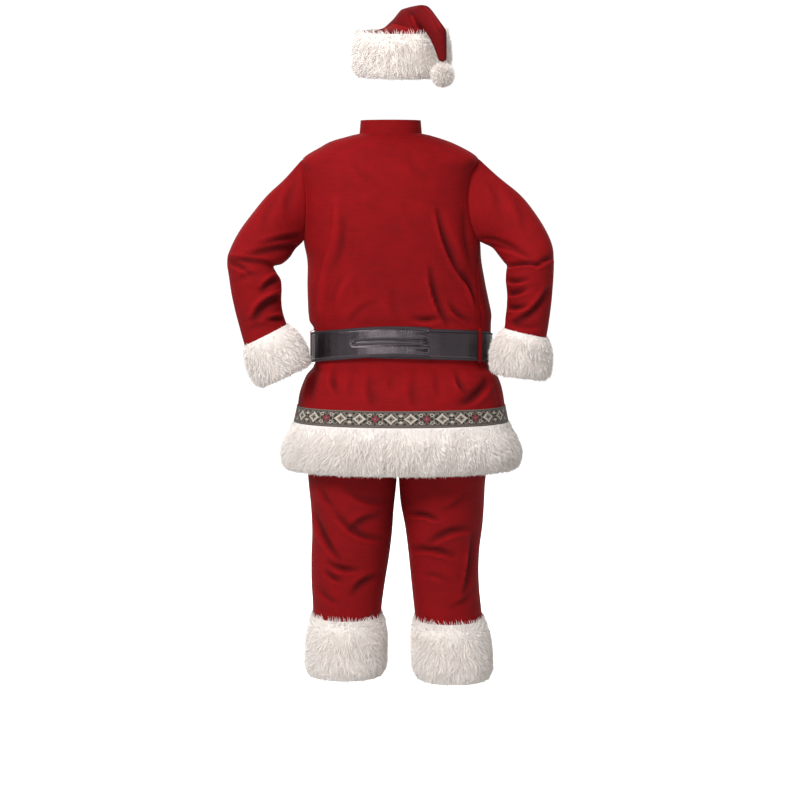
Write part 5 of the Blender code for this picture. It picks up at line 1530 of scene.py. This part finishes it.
# Cap band: a deep ring of plush round the head, lower behind than in front.
HAT_PILE = ((0.0, 12), (0.12, 17), (0.38, 21), (0.65, 21), (0.88, 16), (1.0, 5))
HAT_BAND = (238, 134)
HAT_TILT = 0.14
HAT_LEAN = ((0, 0.08, 0.2, 0.8, 1), (-13, -9, 7, 11, 5))
HAT_STRANDS = (7700,)
HAT_BAND_GAP = 0.4
places = np.linspace(0, 1, 16)
turn = (np.arange(64) / 64 * 2 * math.pi)[:, None]
x = HAT_MIDDLE[0] + HAT_HALF[0] * np.sin(turn) + 0 * places
y = HAT_MIDDLE[1] + HAT_HALF[1] * np.cos(turn) + 0 * places
z = HAT_BAND[0] + (HAT_BAND[1] - HAT_BAND[0]) * places - HAT_TILT * y
face = np.stack([x, y, z], axis=-1)
normal = tube_normals(face)
reach = smooth_curve(*zip(*HAT_PILE), places)
lean = np.interp(places, *HAT_LEAN)
band("cap", face + normal * (LAY_GAP + HAT_BAND_GAP), normal, reach, lean, HAT_STRANDS, "hat_band", 31)


# Pompom: a ball of the same plush, stuffed, sewn under the crown's tip.
POMPOM_RADIUS = 29
POMPOM_CORE = 19
POMPOM_ROUND = 28
POMPOM_ROWS = 16
POMPOM_STRANDS = 2000
turn = (np.arange(POMPOM_ROUND) / POMPOM_ROUND * 2 * math.pi)[:, None]
rise = np.linspace(0.02, 0.98, POMPOM_ROWS)[None, :] * math.pi
normal = np.stack([np.cos(turn) * np.sin(rise), np.sin(turn) * np.sin(rise), np.cos(rise) + 0 * turn],
                  axis=-1)
middle = tip + np.array([0.0, 0.0, -TIP_CLOSE[0] - LAY_GAP - POMPOM_RADIUS])
core = middle + normal * POMPOM_CORE
top, foot = (np.repeat(middle[None, None] + [[[0, 0, end]]], POMPOM_ROUND, axis=0)
             for end in (POMPOM_CORE, -POMPOM_CORE))
ball, faces = turned(np.concatenate([top, core, foot], axis=1))
pompom = piece("pompom_core", ball, faces, PLUSH_BACKING)
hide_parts("pompom")
height = np.full(POMPOM_ROWS, POMPOM_RADIUS - POMPOM_CORE + 1.0)
pile("pompom_pile", core, normal, height, np.full(POMPOM_ROWS, 3.0), POMPOM_STRANDS, 41, ring=True,
     swirl=0.5)


# Studio: a plain pale floor, a camera behind the suit and soft lights on the camera's side.
FLOOR_LEVEL = -1.60
FLOOR_HALF = 40
FLOOR_PAINT = "F4F4F2"
FLOOR_GLOW = 0.8
EYE = (0.0, 5.0, -0.156)
AIM = (0.0, 0.0, -0.636)
FOCAL_PIXELS = 2092.9
IMAGE_PIXELS = 800
SENSOR = 36.0

floor_mesh = bpy.data.meshes.new("floor")
corners = [(x * FLOOR_HALF, y * FLOOR_HALF, FLOOR_LEVEL) for x, y in ((-1, -1), (1, -1), (1, 1), (-1, 1))]
floor_mesh.from_pydata(corners, [], [(0, 1, 2, 3)])
floor = bpy.data.objects.new("floor", floor_mesh)
bpy.context.scene.collection.objects.link(floor)
paint, tree, shader = new_material("pale floor")
shader.inputs["Base Color"].default_value = linear(FLOOR_PAINT)
shader.inputs["Roughness"].default_value = 0.9
shader.inputs["Emission Color"].default_value = (1.0, 1.0, 1.0, 1.0)
shader.inputs["Emission Strength"].default_value = FLOOR_GLOW
floor_mesh.materials.append(paint)
floor.visible_diffuse = False

camera = bpy.data.objects.new("camera", bpy.data.cameras.new("camera"))
bpy.context.scene.collection.objects.link(camera)
camera.data.sensor_width = SENSOR
camera.data.lens = FOCAL_PIXELS * SENSOR / IMAGE_PIXELS
camera.location = EYE
tilt = math.atan2(AIM[2] - EYE[2], EYE[1] - AIM[1])
camera.rotation_euler = (math.radians(90) + tilt, 0.0, math.radians(180))
bpy.context.scene.camera = camera

LIGHT_AIM = (0.0, 0.0, -0.6)
WORLD_LIGHT = 0.33
WORLD_SEEN = 1.05
# Each light: its name, its place and its side in metres, and its power in watts.
LIGHTS = (
    ("key", (2.4, 3.75, 2.65), 1.6, 270),
    ("fill", (-4.6, 1.9, 0.3), 2.4, 26),
    ("low", (0.85, 4.65, -0.45), 0.6, 64),
    ("front_left", (2.2, -4.0, 1.6), 2.4, 100),
    ("front_right", (-2.2, -4.0, 1.2), 2.4, 64),
    ("top", (0.0, 0.4, 3.4), 2.0, 60),
)
for name, place, size, watts in LIGHTS:
    light = bpy.data.objects.new(name, bpy.data.lights.new(name, "AREA"))
    light.data.size = size
    light.data.energy = watts
    light.location = place
    aim = np.array(LIGHT_AIM) - np.array(place)
    level = math.hypot(aim[0], aim[1])
    light.rotation_euler = (math.atan2(level, -aim[2]), 0.0, math.atan2(-aim[0], aim[1]))
    bpy.context.scene.collection.objects.link(light)

world = bpy.data.worlds.new("studio")
bpy.context.scene.world = world
world.use_nodes = True
backdrop = world.node_tree.nodes["Background"]
backdrop.inputs["Color"].default_value = (1.0, 1.0, 1.0, 1.0)
seen = add(world.node_tree, "LightPath").outputs["Is Camera Ray"]
strength = add(world.node_tree, "MapRange", {0: seen, 3: WORLD_LIGHT, 4: WORLD_SEEN})
world.node_tree.links.new(strength.outputs[0], backdrop.inputs["Strength"])
bpy.context.scene.view_settings.view_transform = "Standard"
